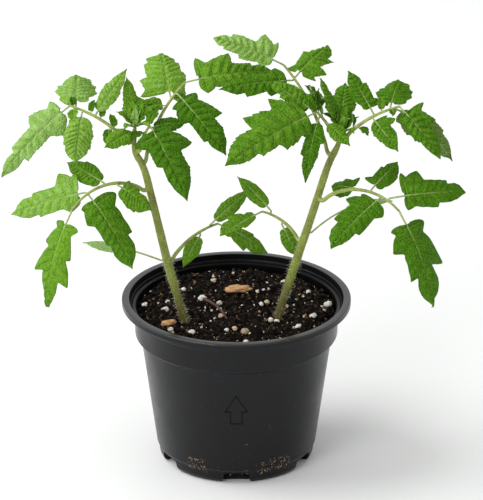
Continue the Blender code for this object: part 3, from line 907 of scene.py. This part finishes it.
stalk_finish, tree, shader = finish_tree("leaf_stalk_green", 0.5)
place = object_place(tree)
blotch = noise_value(tree, place, 130, 4)
green = ramp(tree, noise_value(tree, place, 1400, 2), (0.3, (0.21, 0.29, 0.05)), (0.7, (0.37, 0.44, 0.13)))
purple = times(tree, faded(tree, blotch, 0.48, 0.68), 0.55)
feed(tree, shader, Base_Color=mixed(tree, purple, green, (0.17, 0.12, 0.07)), Subsurface_Weight=0.12,
     Subsurface_Radius=(0.001, 0.0015, 0.0005), Specular_IOR_Level=0.25)


def stalk_section(travelled, turn):
    """A round stalk with a shallow groove."""
    return 1 - 0.10 * max(0.0, math.cos(turn)) ** 6 + 0.02 * math.sin(travelled * 700)


stalk_lines = {}
for leaf in sorted(n[:-6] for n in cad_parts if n.endswith("_stalk")):
    stem_line = stem_lines[leaf.split("_")[0]]
    rings = tube_rings(f"{leaf}_stalk", [tuple(p) for p, r in stem_line])
    foot = min((p for p, r in stem_line), key=lambda p: (p - rings[0][0]).length)
    line = smooth_line([(foot, rings[0][1] * STALK_FOOT_FLARE)] + rings, STALK_STEPS)
    stalk_lines[leaf] = line
    stalk = new_piece(f"{leaf}_stalk_body", *tube_mesh(line, STALK_SIDES, stalk_section), [stalk_finish])
    settle(stalk, [f"{leaf}_stalk"])
    haired(f"{leaf}_stalk_hairs", stalk.data, STALK_HAIRS_PER_SQUARE_METRE, STALK_HAIR_LENGTH, len(leaf))


# ======== Leaflets ========
# Soft lobed tomato leaflets. The side veins sink into the upper face and stand out underneath, the
# blade puffs up between them, the margin waves, and every blade hangs on its own little stalk.

BLADE_ROWS = 84
BLADE_COLUMNS = 14
BLADE_THICKNESS = 0.28 * MM
VEIN_GROOVE = 0.3 * MM
VEIN_RIDGE = 0.16 * MM
PUFF = 1.1 * MM
QUILT = 0.18 * MM
QUILT_CELLS = 320.0
TONE_SPREAD = 0.50
LEAF_SHEEN = 0.05
MIDRIB_SIDES = 8
MIDRIB_STEPS = 26
NET_CELLS = 520.0
VEIN_GAP = 0.13
EDGE_RIPPLE = 0.04
# A plain blade's half width down its length, and the roots of its lobes.
ENVELOPE = ((0.0, 0.20), (0.08, 0.72), (0.24, 1.0), (0.45, 0.88), (0.65, 0.62), (0.82, 0.36), (0.93, 0.16),
            (1.0, 0.015))
PLAIN_LOBES = (0.10, 0.27, 0.45, 0.63)
# How lobes lean towards the tip, and how deep the cuts between them are.
LOBE_LEAN = 0.55
LOBE_CUT = 0.08
LOBE_CUT_BY_REACH = 0.6
LAST_CUT_MORE = 0.12
# The blade beyond the last lobe: share of the length left, and reach against the last sinus.
TIP_TAPER = ((0.10, 1.0), (0.34, 1.08), (0.62, 0.72), (0.85, 0.28))


def leaf_finish(name, greens, vein, vein_share, gloss):
    """A leaf face: mottled green, paler midrib and side veins, fine net of small veins, tinged margin;
    painted shade in the quilt's creases and painted light between the side veins.
    """
    material, tree, shader = finish_tree(name, gloss)
    place = object_place(tree)
    given = add_node(tree, "ShaderNodeAttribute", {"attribute_name": "vein_place"}).outputs["Vector"]
    axes = add_node(tree, "ShaderNodeSeparateXYZ", Vector=given)
    along, across, tone = axes.outputs["X"], maths(tree, "ABSOLUTE", axes.outputs["Y"]), axes.outputs["Z"]
    mottle = noise_value(tree, place, 140, 4)
    quilt, net = (add_node(tree, "ShaderNodeTexVoronoi", {"feature": "DISTANCE_TO_EDGE"}, Vector=place,
                           Scale=cells).outputs["Distance"] for cells in (QUILT_CELLS, NET_CELLS))
    # Painted shade: darker along the creases of the quilt.
    painted_crease_shade = faded(tree, quilt, 0.0, 0.22)
    fleck = noise_value(tree, place, 620, 3, 0.6)
    side = maths(tree, "PINGPONG", along, 0.5)
    # Painted light: lighter on the puffs between the side veins, darker at the veins.
    painted_puff_light = faded(tree, side, 0.02, 0.42)
    patches_with_painted_light = plus(tree, times(tree, mottle, 0.46), times(tree, fleck, 0.25), times(tree, painted_crease_shade, 0.15),
                   times(tree, painted_puff_light, 0.14))
    shade = plus(tree, tone, times(tree, maths(tree, "SUBTRACT", patches_with_painted_light, 0.5), TONE_SPREAD))
    green = ramp(tree, shade, *greens)
    width = faded(tree, across, 0.0, 1.0, 0.07, 0.025)
    side_vein = maths(tree, "SUBTRACT", 1.0, faded(tree, maths(tree, "DIVIDE", side, width), 0.3, 1.0))
    side_vein = times(tree, side_vein, faded(tree, across, 0.98, 0.6))
    midrib = faded(tree, across, 0.06, 0.015)
    net_vein = times(tree, faded(tree, net, 0.10, 0.0), 0.35)
    veins = maths(tree, "MAXIMUM", maths(tree, "MAXIMUM", side_vein, midrib), net_vein)
    colour = mixed(tree, times(tree, veins, vein_share), green, vein)
    margin = times(tree, faded(tree, across, 0.93, 1.0), faded(tree, mottle, 0.4, 0.65, 0.0, 0.55))
    feed(tree, shader, Base_Color=mixed(tree, margin, colour, (0.055, 0.045, 0.03)),
         Roughness=faded(tree, mottle, 0.3, 0.7, gloss - 0.06, gloss + 0.08), Subsurface_Weight=0.15,
         Subsurface_Radius=(0.0006, 0.0012, 0.0003), Specular_IOR_Level=LEAF_SHEEN)
    cells = faded(tree, net, 0.0, 0.4)
    down = noise_value(tree, place, 4200, 2)
    relief = plus(tree, cells, times(tree, down, 0.35), times(tree, fleck, 0.7))
    bumped(tree, shader, relief, 0.0006, 0.85)
    return material


# From old deep green blades to young pale ones.
UPPER_GREENS = ((0.0, (0.014, 0.070, 0.0008)), (0.35, (0.052, 0.165, 0.003)), (0.65, (0.155, 0.33, 0.022)),
                (1.0, (0.34, 0.52, 0.19)))
UNDER_GREENS = ((0.0, (0.10, 0.19, 0.03)), (0.5, (0.17, 0.28, 0.06)), (1.0, (0.32, 0.45, 0.17)))
upper_finish = leaf_finish("leaf_upper_face", UPPER_GREENS, (0.26, 0.42, 0.06), 0.45, 0.5)
under_finish = leaf_finish("leaf_under_face", UNDER_GREENS, (0.34, 0.45, 0.15), 0.5, 0.65)
rib_finish = mottled("leaf_midrib", 0.5, 500, 3, (0.3, (0.20, 0.28, 0.08)), (0.7, (0.36, 0.44, 0.18)))


def blade_lie(node, near):
    """How a leaflet's solid lies: its base, its directions, its lengths and the curve of its sheet."""
    points = cad_points(node)
    gaps = np.min(np.linalg.norm(points[:, None, :] - near[None, :, :], axis=2), axis=1)
    foot = points[np.argmin(gaps)]
    base = points[np.linalg.norm(points - foot, axis=1) < 1.4 * MM].mean(axis=0)
    tip = points[np.argmax(np.linalg.norm(points - base, axis=1))]
    length = float(np.linalg.norm(tip - base))
    forward = (tip - base) / length
    along = (points - base) @ forward
    rest = points - base - along[:, None] * forward
    _, _, axes = np.linalg.svd(rest, full_matrices=False)
    first, second = rest @ axes[0], rest @ axes[1]
    wide_first = np.abs(first).max() > 1.5 * np.abs(second).max()
    right = axes[0] if wide_first or abs(first.mean()) < abs(second.mean()) else axes[1]
    up = np.cross(right, forward)
    across = rest @ right
    ridge = (rest @ up)[(np.abs(across) < 1.2 * MM) & (along > 0.2 * length) & (along < 0.8 * length)]
    if ridge.mean() < 0:
        up, right, across = -up, -right, -across
    height = rest @ up
    half = float(np.abs(across).max())
    start = float(along[np.abs(across) > 0.26 * half].min())
    u, w = along / length, across / half
    terms = np.stack([u * 0 + 1, u, u ** 2, u ** 3, w ** 2, u * w ** 2], axis=1)
    curve = np.linalg.lstsq(terms, height, rcond=None)[0]
    return {"base": base, "forward": forward, "right": right, "up": up, "length": length, "start": start,
            "half": half, "curve": curve}


def edge_reach(lie, lobes, row, rng):
    """Half width and vein count down one side of a blade, from its lobes or from the plain envelope."""
    length, half, start = lie["length"], lie["half"] * row["slim"], lie["start"]
    env_s, env_h = zip(*ENVELOPE)
    if lobes:
        roots, reaches = [], []
        for place, reach in lobes:
            root = (place * length - start - LOBE_LEAN * reach * length) / (length - start)
            roots.append(max(root, 0.05 if not roots else roots[-1] + 0.10))
            reaches.append(reach * length)
        cuts = [row["cut"] + LOBE_CUT + LOBE_CUT_BY_REACH * reach / length for reach in reaches]
    else:
        roots = list(np.array(PLAIN_LOBES) + rng.uniform(-0.03, 0.03, len(PLAIN_LOBES)))
        reaches = [half * h * rng.uniform(0.93, 1.05) for h in np.interp(roots, env_s, env_h)]
        cuts = [row["cut"]] * len(roots)
    knots = [(0.0, 0.14 * half)]
    for index, (root, reach) in enumerate(zip(roots, reaches)):
        if index:
            before = reaches[index - 1]
            valley = roots[index - 1] + 0.22 * (root - roots[index - 1])
            knots.append((valley, (0.5 * before + 0.5 * min(before, reach)) * (1 - cuts[index - 1])))
        knots.append((root, reach))
    left = 1 - roots[-1]
    if lobes:
        last_sinus = reaches[-1] * (1 - cuts[-1] - LAST_CUT_MORE)
        knots += [(roots[-1] + share * left, last_sinus * reach) for share, reach in TIP_TAPER]
    else:
        knots += [(roots[-1] + 0.5 * left, reaches[-1] * 0.50), (roots[-1] + 0.8 * left, reaches[-1] * 0.17)]
    knots.append((1.0, 0.15 * MM))
    s = np.linspace(0, 1, BLADE_ROWS)
    width = np.empty(BLADE_ROWS)
    for index, place in enumerate(s):
        span = min(max(i for i, k in enumerate(knots) if k[0] <= place + 1e-9), len(knots) - 2)
        (s0, a), (s1, b) = knots[span], knots[span + 1]
        share = (place - s0) / (s1 - s0)
        width[index] = a + (b - a) * (share ** 0.5 if b > a else share)
    soft = np.convolve(np.pad(width, 1, mode="edge"), (0.2, 0.6, 0.2), mode="valid")
    ripple = [1 + EDGE_RIPPLE * noise.noise(Vector((place * 14, row["seed"] * 3.3, reaches[0] * 900)))
              for place in s]
    veins = [roots[0]]
    for root in roots[1:] + [1.0]:
        gap = root - veins[-1]
        extra = int(gap / VEIN_GAP)
        last = veins[-1]
        veins += [last + gap * (k + 1) / (extra + 1) for k in range(extra)] + [root]
    count = np.interp(s, [-0.12] + veins, range(len(veins) + 1))
    teeth = 1 + row["teeth"] * ((count * 2) % 1 - 0.5)
    return soft * ripple * teeth, count


def blade_faces(rows, columns):
    """Faces of a closed blade with their finishes, 0 on the upper sheet and the edges and 1 underneath."""
    under = rows * columns
    faces, finishes = [], []
    for row in range(rows - 1):
        for a in range(row * columns, row * columns + columns - 1):
            b, c, d = a + 1, a + columns + 1, a + columns
            faces += [(a, b, c, d), (under + a, under + d, under + c, under + b)]
            finishes += [0, 1]
        left = row * columns
        right = left + columns - 1
        faces += [(left, left + columns, under + left + columns, under + left),
                  (under + right, under + right + columns, right + columns, right)]
        finishes += [0, 0]
    for first, step in ((0, -1), ((rows - 1) * columns, 1)):
        for a in range(first, first + columns - 1):
            faces.append((a, a + 1, under + a + 1, under + a)[::step])
            finishes.append(0)
    return faces, finishes


BLADE_FACES, BLADE_FACE_FINISHES = blade_faces(BLADE_ROWS, 2 * BLADE_COLUMNS + 1)


def midrib_line(lie, near, foot_radius):
    """The midrib's line of points and radii, from the stalk or stem to the blade's tip."""
    joint = near[np.argmin(np.linalg.norm(near - lie["base"], axis=1))]
    line = [(Vector(joint), foot_radius * 1.15)]
    c = lie["curve"]
    for t in np.linspace(0, 0.96, MIDRIB_STEPS):
        along = t * lie["length"]
        height = c[0] + c[1] * t + c[2] * t ** 2 + c[3] * t ** 3
        inside = max(0.0, (along - lie["start"]) / (lie["length"] - lie["start"]))
        radius = foot_radius * (1 - 0.75 * inside)
        sunk = height - (0.25 * MM + radius * 0.35) * min(1, inside * 8)
        line.append((Vector(lie["base"] + lie["forward"] * along + lie["up"] * sunk), radius))
    return line


def make_blade(name, lie, near, shape_row, nodes):
    """A finished leaflet: a two-faced blade, its midrib and its little stalk in one piece."""
    rng = np.random.default_rng(shape_row["seed"])
    length, half, start = lie["length"], lie["half"], lie["start"]
    s = np.linspace(0, 1, BLADE_ROWS)[:, None]
    q = np.linspace(-1, 1, 2 * BLADE_COLUMNS + 1)[None, :]
    out = np.abs(q)
    sides = [edge_reach(lie, lobes, shape_row, rng) for lobes in shape_row["lobes"]]
    reach, phase = (np.stack(parts, axis=1)[:, (q > 0).astype(int).ravel()] for parts in zip(*sides))
    w = q * reach
    slant = np.interp(s[:, 0], (0, 0.15, 0.4, 0.8, 1), (-0.25, 0.25, 0.62, 0.75, 0.6))[:, None]
    u = start + s * (length - start) + slant * np.abs(w) * (0.75 + 0.25 * out)

    # The sheet's relief: puffs between the veins, a fine quilt, and the wave and droop of the margin.
    size = half / (12 * MM)
    lobe = np.abs(np.sin(phase * math.pi))
    puff = shape_row["puff"] * PUFF * min(1.0, size) * lobe
    puff = puff * np.sqrt(np.clip(out * 4, 0, 1)) * (1 - 0.85 * out ** 2)
    fine = np.array([[noise.noise(Vector((along * 260, across * 260, shape_row["seed"] * 1.7)))
                      for along, across in zip(*row)] for row in zip(u, w)])
    quilt = np.array([[noise.voronoi(Vector((along, across, 0)) * QUILT_CELLS
                                     + Vector((0, 0, shape_row["seed"])))[0][:2]
                       for along, across in zip(*row)] for row in zip(u, w)])
    quilt = np.clip((quilt[..., 1] - quilt[..., 0]) * 2, 0, 1) * np.clip(1.1 - out, 0, 1)
    cross = np.sin(out * reach / MM * 1.5 + phase * 1.2) * 0.10 * MM * (out > 0.08) * (1 - out)
    wave = shape_row["wave"] * size * MM * out ** 2.2 * np.sin(
        s * shape_row["bends"] * 2 * math.pi + np.sign(q) * 1.2 + shape_row["seed"] * 2.1)
    droop = -size * MM * out ** 3
    fold = shape_row["fold"] * np.abs(w)
    sheet = puff + (fine * 0.22 * MM + quilt * QUILT) * shape_row["puff"] + cross + wave + droop + fold
    un, wn = np.clip(u / length, 0, 1.04), np.clip(w / half, -1.2, 1.2)
    c = lie["curve"]
    middle = c[0] + c[1] * un + c[2] * un ** 2 + c[3] * un ** 3 + c[4] * wn ** 2 + c[5] * un * wn ** 2

    # Veins sink into the upper face and stand out underneath; the two faces meet along the margin.
    side_veins = np.exp(-(np.minimum(phase % 1, 1 - phase % 1) / 0.09) ** 2) * np.clip(1.15 - out, 0, 1)
    veins = np.maximum(side_veins, np.exp(-(w / (0.7 * MM)) ** 2))
    top = middle + sheet + BLADE_THICKNESS / 2 - VEIN_GROOVE * veins
    low = middle + sheet - BLADE_THICKNESS / 2 - VEIN_RIDGE * veins - VEIN_GROOVE * veins
    rim = np.clip((out - 0.9) * 10, 0, 1)
    low = low * (1 - rim) + (top - 0.10 * MM) * rim
    points = [tuple(p) for height in (top, low)
              for p in (lie["base"] + u[..., None] * lie["forward"] + w[..., None] * lie["right"]
                        + height[..., None] * lie["up"]).reshape(-1, 3)]
    places = np.stack([phase, np.broadcast_to(q, u.shape), np.full(u.shape, shape_row["tone"])], axis=-1)

    rib_points, rib_faces = tube_mesh(midrib_line(lie, near, shape_row["neck"] * MM), MIDRIB_SIDES)
    faces = BLADE_FACES + [tuple(i + len(points) for i in face) for face in rib_faces]
    piece = new_piece(name, points + rib_points, faces, [upper_finish, under_finish, rib_finish],
                      BLADE_FACE_FINISHES + [2] * len(rib_faces))
    record = piece.data.attributes.new("vein_place", "FLOAT_VECTOR", "POINT")
    places = np.concatenate([places.reshape(-1, 3)] * 2 + [np.full((len(rib_points), 3), 0.5)])
    record.data.foreach_set("vector", places.astype(np.float32).ravel())
    settle(piece, nodes)


# Depth of the cuts, lobes of both sides, puffing, waves of the margin and their number, fold along the
# midrib, tone from dark 0 to pale 1, the little stalk's radius in millimetres, teeth and slimness.
PLAIN_SHAPE = {"cut": 0.07, "lobes": ((), ()), "puff": 1.0, "wave": 0.9, "bends": 1.6, "fold": 0.0,
               "tone": 0.25, "neck": 0.5, "teeth": 0.0, "slim": 1.0}
SEED_LEAF = {"cut": 0.0, "puff": 0.15, "wave": 0.2, "tone": 0.95, "teeth": 0.0}
# What sets a whole leaf, or one leaflet, apart from the plain shape.
LEAF_SHAPES = {
    "left_leaf_1": {"tone": 0.50, "puff": 0.4, "cut": -0.02, "wave": 0.4, "slim": 0.74},
    "left_leaf_2": {"tone": 0.46, "cut": 0.0, "puff": 0.8},
    "left_leaf_2_front": {"tone": 0.38},
    "left_leaf_2_outer": {"tone": 0.72},
    "left_leaf_2_terminal": {"tone": 0.50, "cut": 0.18},
    "left_leaf_3": {"tone": 0.70, "puff": 1.4, "wave": 1.1, "teeth": 0.08},
    "left_leaf_3_terminal": {"tone": 0.82, "cut": 0.16},
    "left_leaf_3_fan": {"tone": 0.76},
    "left_leaf_4": {"tone": 0.50, "puff": 1.3, "teeth": 0.05},
    "left_leaf_4_crown": {"tone": 0.66, "cut": -0.12},
    "left_leaf_4_front": {"tone": 0.28},
    "left_leaf_5": {"tone": 0.26, "puff": 1.5, "teeth": 0.05},
    "right_leaf_1": {"tone": 0.50, "puff": 0.4, "cut": -0.02, "wave": 0.4, "slim": 0.74},
    "right_leaf_2": {"tone": 0.34, "cut": 0.0, "puff": 0.75},
    "right_leaf_2_terminal": {"cut": 0.16},
    "right_leaf_3": {"tone": 0.36, "puff": 1.4, "teeth": 0.06},
    "right_leaf_4": {"tone": 0.45, "puff": 1.4, "wave": 1.0, "teeth": 0.06},
    "right_leaf_4_terminal": {"tone": 0.78},
    "right_leaf_4_front": {"tone": 0.34},
    "right_leaf_5": {"tone": 0.42, "puff": 1.6, "teeth": 0.09},
    "right_leaf_5_lower": {"tone": 0.28},
    "left_young": {"tone": 0.55, "puff": 1.3, "teeth": 0.08},
    "right_young": {"tone": 0.42, "puff": 1.3, "teeth": 0.08},
}
# Lobes of each leaflet, down its left side and then its right: the place of the lobe's tip and
# how far it reaches from the midrib, both as shares of the leaflet's length.
LOBES = {
    "left_leaf_1_terminal": (((0.3, 0.15), (0.6, 0.15)), ((0.25, 0.15), (0.55, 0.25))),
    "left_leaf_2_inner": (((0.15, 0.3), (0.5, 0.24)), ()),
    "left_leaf_2_outer": (((0.3, 0.2), (0.6, 0.16)), ((0.15, 0.3), (0.4, 0.34), (0.65, 0.18))),
    "left_leaf_2_front": (((0.3, 0.32), (0.6, 0.24)), ((0.15, 0.18), (0.35, 0.22), (0.6, 0.16))),
    "left_leaf_2_terminal": (((0.2, 0.2), (0.45, 0.2), (0.7, 0.25)),
                             ((0.15, 0.2), (0.4, 0.26), (0.65, 0.28))),
    "left_leaf_3_terminal": (((0.3, 0.18), (0.65, 0.13)), ((0.1, 0.2), (0.4, 0.22), (0.7, 0.13))),
    "left_leaf_4_crown": (((0.3, 0.4), (0.5, 0.36), (0.75, 0.26)), ((0.25, 0.24), (0.5, 0.28), (0.75, 0.22))),
    "left_leaf_4_terminal": (((0.25, 0.34), (0.55, 0.3), (0.75, 0.15)), ((0.3, 0.2), (0.6, 0.15))),
    "left_leaf_4_front": (((0.25, 0.2), (0.55, 0.28)), ((0.15, 0.18), (0.4, 0.22), (0.7, 0.12))),
    "left_leaf_5_front": (((0.15, 0.25), (0.45, 0.36)), ((0.3, 0.28), (0.5, 0.16))),
    "right_leaf_1_terminal": (((0.45, 0.15),), ((0.3, 0.15), (0.65, 0.3))),
    "right_leaf_2_inner": ((), ((0.3, 0.3), (0.6, 0.2))),
    "right_leaf_2_upper": (((0.25, 0.33), (0.6, 0.2)), ()),
    "right_leaf_2_outer": (((0.15, 0.36), (0.5, 0.34), (0.75, 0.18)), ((0.3, 0.2), (0.6, 0.18))),
    "right_leaf_2_front": (((0.3, 0.24), (0.6, 0.18)), ((0.15, 0.26), (0.4, 0.36), (0.65, 0.25))),
    "right_leaf_2_terminal": (((0.25, 0.27), (0.6, 0.34)), ((0.2, 0.2), (0.4, 0.28), (0.65, 0.22))),
    "right_leaf_3_upright": ((), ((0.25, 0.32), (0.6, 0.2))),
    "right_leaf_3_lower": (((0.2, 0.28), (0.4, 0.36)), ()),
    "right_leaf_3_terminal": (((0.1, 0.36), (0.5, 0.3)), ((0.25, 0.18), (0.55, 0.16))),
    "right_leaf_4_terminal": (((0.3, 0.16), (0.55, 0.16), (0.8, 0.13)),
                              ((0.2, 0.32), (0.45, 0.36), (0.75, 0.16))),
    "right_leaf_4_crown": (((0.3, 0.25), (0.6, 0.22)), ((0.2, 0.3), (0.4, 0.35), (0.7, 0.25))),
    "right_leaf_4_front": (((0.4, 0.2), (0.65, 0.16)), ((0.3, 0.2), (0.6, 0.15))),
    "right_leaf_5_upper": (((0.35, 0.18), (0.65, 0.15)), ((0.35, 0.36),)),
    "right_leaf_5_lower": (((0.4, 0.18),), ((0.35, 0.2), (0.6, 0.14))),
    "right_leaf_5_front": (((0.25, 0.17), (0.45, 0.18), (0.65, 0.12)),
                           ((0.15, 0.26), (0.35, 0.34), (0.6, 0.3))),
}

blade_nodes = sorted(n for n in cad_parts
                     if n.endswith("_leaflet") or "_seed_leaf" in n or "_young_leaf" in n)
for index, node in enumerate(blade_nodes):
    parent_line = stalk_lines.get(node.rsplit("_", 2)[0], stem_lines[node.split("_")[0]])
    near = np.array([tuple(p) for p, r in parent_line])
    row = dict(PLAIN_SHAPE, seed=index + 1)
    for key, own in LEAF_SHAPES.items():
        if node.startswith(key):
            row.update(own)
    row["lobes"] = LOBES.get(node.replace("_leaflet", ""), ((), ()))
    if "seed_leaf" in node:
        row.update(SEED_LEAF)
    make_blade(node.replace("_leaflet", "") + "_blade", blade_lie(node, near), near, row, [node])


# ======== Buds and small folioles ========
# At each growing tip stand folded young leaves, darkest outside and yellow-green within, and tiny
# side leaflets sit along the upper stalks between the large ones.

# The bare share of a foliole's length, at its foot.
FOLIOLE_START = 0.14
FOLIOLE_SHAPE = {"neck": 0.28, "wave": 1.6, "puff": 0.5, "teeth": 0.16, "bends": 2.2, "fold": 0.5}

# The stalk or stem it stands on, its place along that, azimuth, rise, roll and droop in degrees, length
# and half width in millimetres, and tone.
FOLIOLES = [
    ("left_leaf_3", 0.42, -95, -55, 20, 40, 10, 3.0, 0.26),
    ("left_leaf_3", 0.55, 95, 35, 30, 60, 8, 2.6, 0.45),
    ("left_leaf_3", 0.70, 60, 60, 0, 40, 7, 2.2, 0.26),
    ("left_leaf_3", 0.33, 120, 55, 0, 40, 8, 2.4, 0.40),
    ("left_leaf_3", 0.95, 120, 60, 0, 30, 5, 2.2, 0.26),
    ("left_leaf_3", 0.95, -90, -35, 20, 40, 8, 3.2, 0.55),
    ("left_leaf_4", 0.70, 190, -5, -30, 80, 13, 5.0, 0.45),
    ("left_leaf_4", 0.78, 20, -10, 30, 60, 9, 3.2, 0.40),
    ("left_leaf_5", 0.80, 205, -25, 0, 40, 9, 3.6, 0.26),
    ("left_leaf_5", 0.95, 60, 40, 0, 60, 11, 3.6, 0.30),
    ("right_leaf_5", 0.70, 165, 62, 20, 20, 20, 5.0, 0.26),
    ("right_leaf_5", 1.00, 130, 68, 40, 50, 14, 4.0, 0.35),
    ("right_leaf_5", 0.95, 175, 52, -40, 60, 12, 3.6, 0.40),
    ("right_leaf_5", 0.90, 95, 72, -60, 30, 13, 3.4, 0.26),
    ("right_leaf_5", 1.00, 60, 30, 0, 60, 9, 3.2, 0.40),
    ("right_leaf_4", 0.60, 20, 10, 20, 50, 8, 3.0, 0.45),
    ("right_leaf_4", 0.70, 215, -10, -20, 50, 8, 3.0, 0.45),
    ("right_leaf_3", 0.28, 100, 72, 60, 30, 8, 2.0, 0.26),
    ("right_leaf_3", 0.36, -35, -25, 10, 50, 7, 2.6, 0.30),
    ("right_leaf_3", 0.75, 95, 55, 0, 50, 8, 2.4, 0.45),
    ("right_leaf_3", 0.90, -85, -20, 0, 50, 5, 2.0, 0.35),
    ("left", 1.00, 60, 62, 10, 30, 15, 3.6, 0.50),
    ("left", 1.00, 110, 68, -10, 25, 14, 3.4, 0.60),
    ("left", 1.00, 10, 45, 10, 40, 16, 4.0, 0.45),
    ("left", 1.00, -50, 22, 0, 50, 12, 3.2, 0.62),
    ("left", 1.00, -120, 18, 0, 50, 11, 3.0, 0.66),
    ("left", 1.00, 165, 40, -10, 40, 12, 3.0, 0.55),
    ("left", 1.00, 80, 80, 0, 20, 10, 2.4, 0.85),
    ("left", 1.00, 30, 70, 0, 20, 10, 2.2, 0.80),
    ("right", 1.00, 120, 62, 10, 30, 15, 3.4, 0.36),
    ("right", 1.00, 70, 70, -10, 25, 14, 3.2, 0.42),
    ("right", 1.00, 170, 45, -10, 40, 14, 3.6, 0.34),
    ("right", 1.00, -60, 20, 0, 50, 11, 3.0, 0.50),
    ("right", 1.00, -125, 20, 0, 50, 10, 2.8, 0.55),
    ("right", 1.00, 15, 45, 10, 40, 11, 2.8, 0.45),
    ("right", 1.00, 95, 80, 0, 20, 9, 2.2, 0.72),
]


def foliole_lie(line, place, azimuth, rise, roll, droop, length, half):
    """The lie of a small blade that stands on a stalk's or stem's line."""
    spot, radius = line[min(int(place * (len(line) - 1)), len(line) - 1)]
    turn, tilt, bank = (math.radians(angle) for angle in (azimuth, rise, roll))
    forward = np.array((math.cos(tilt) * math.cos(turn), math.cos(tilt) * math.sin(turn), math.sin(tilt)))
    right = np.cross(forward, (0.0, 0.0, 1.0))
    right /= np.linalg.norm(right)
    up = np.cross(right, forward)
    right, up = right * math.cos(bank) - up * math.sin(bank), up * math.cos(bank) + right * math.sin(bank)
    sag = math.radians(droop) * length * MM / 2
    curve = np.array((0.0, sag, -sag, 0.0, -0.18 * half * MM, 0.0))
    return {"base": np.array(spot) + forward * radius * 0.7, "forward": forward, "right": right, "up": up,
            "length": length * MM, "start": length * MM * FOLIOLE_START, "half": half * MM, "curve": curve}


for index, (parent, *stance, tone) in enumerate(FOLIOLES):
    line = stalk_lines[parent] if parent in stalk_lines else stem_lines[parent]
    near = np.array([tuple(p) for p, r in line])
    row = {**PLAIN_SHAPE, **FOLIOLE_SHAPE, "seed": index + 101, "tone": tone}
    make_blade(f"{parent}_foliole_{index + 1}", foliole_lie(line, *stance), near, row, [])
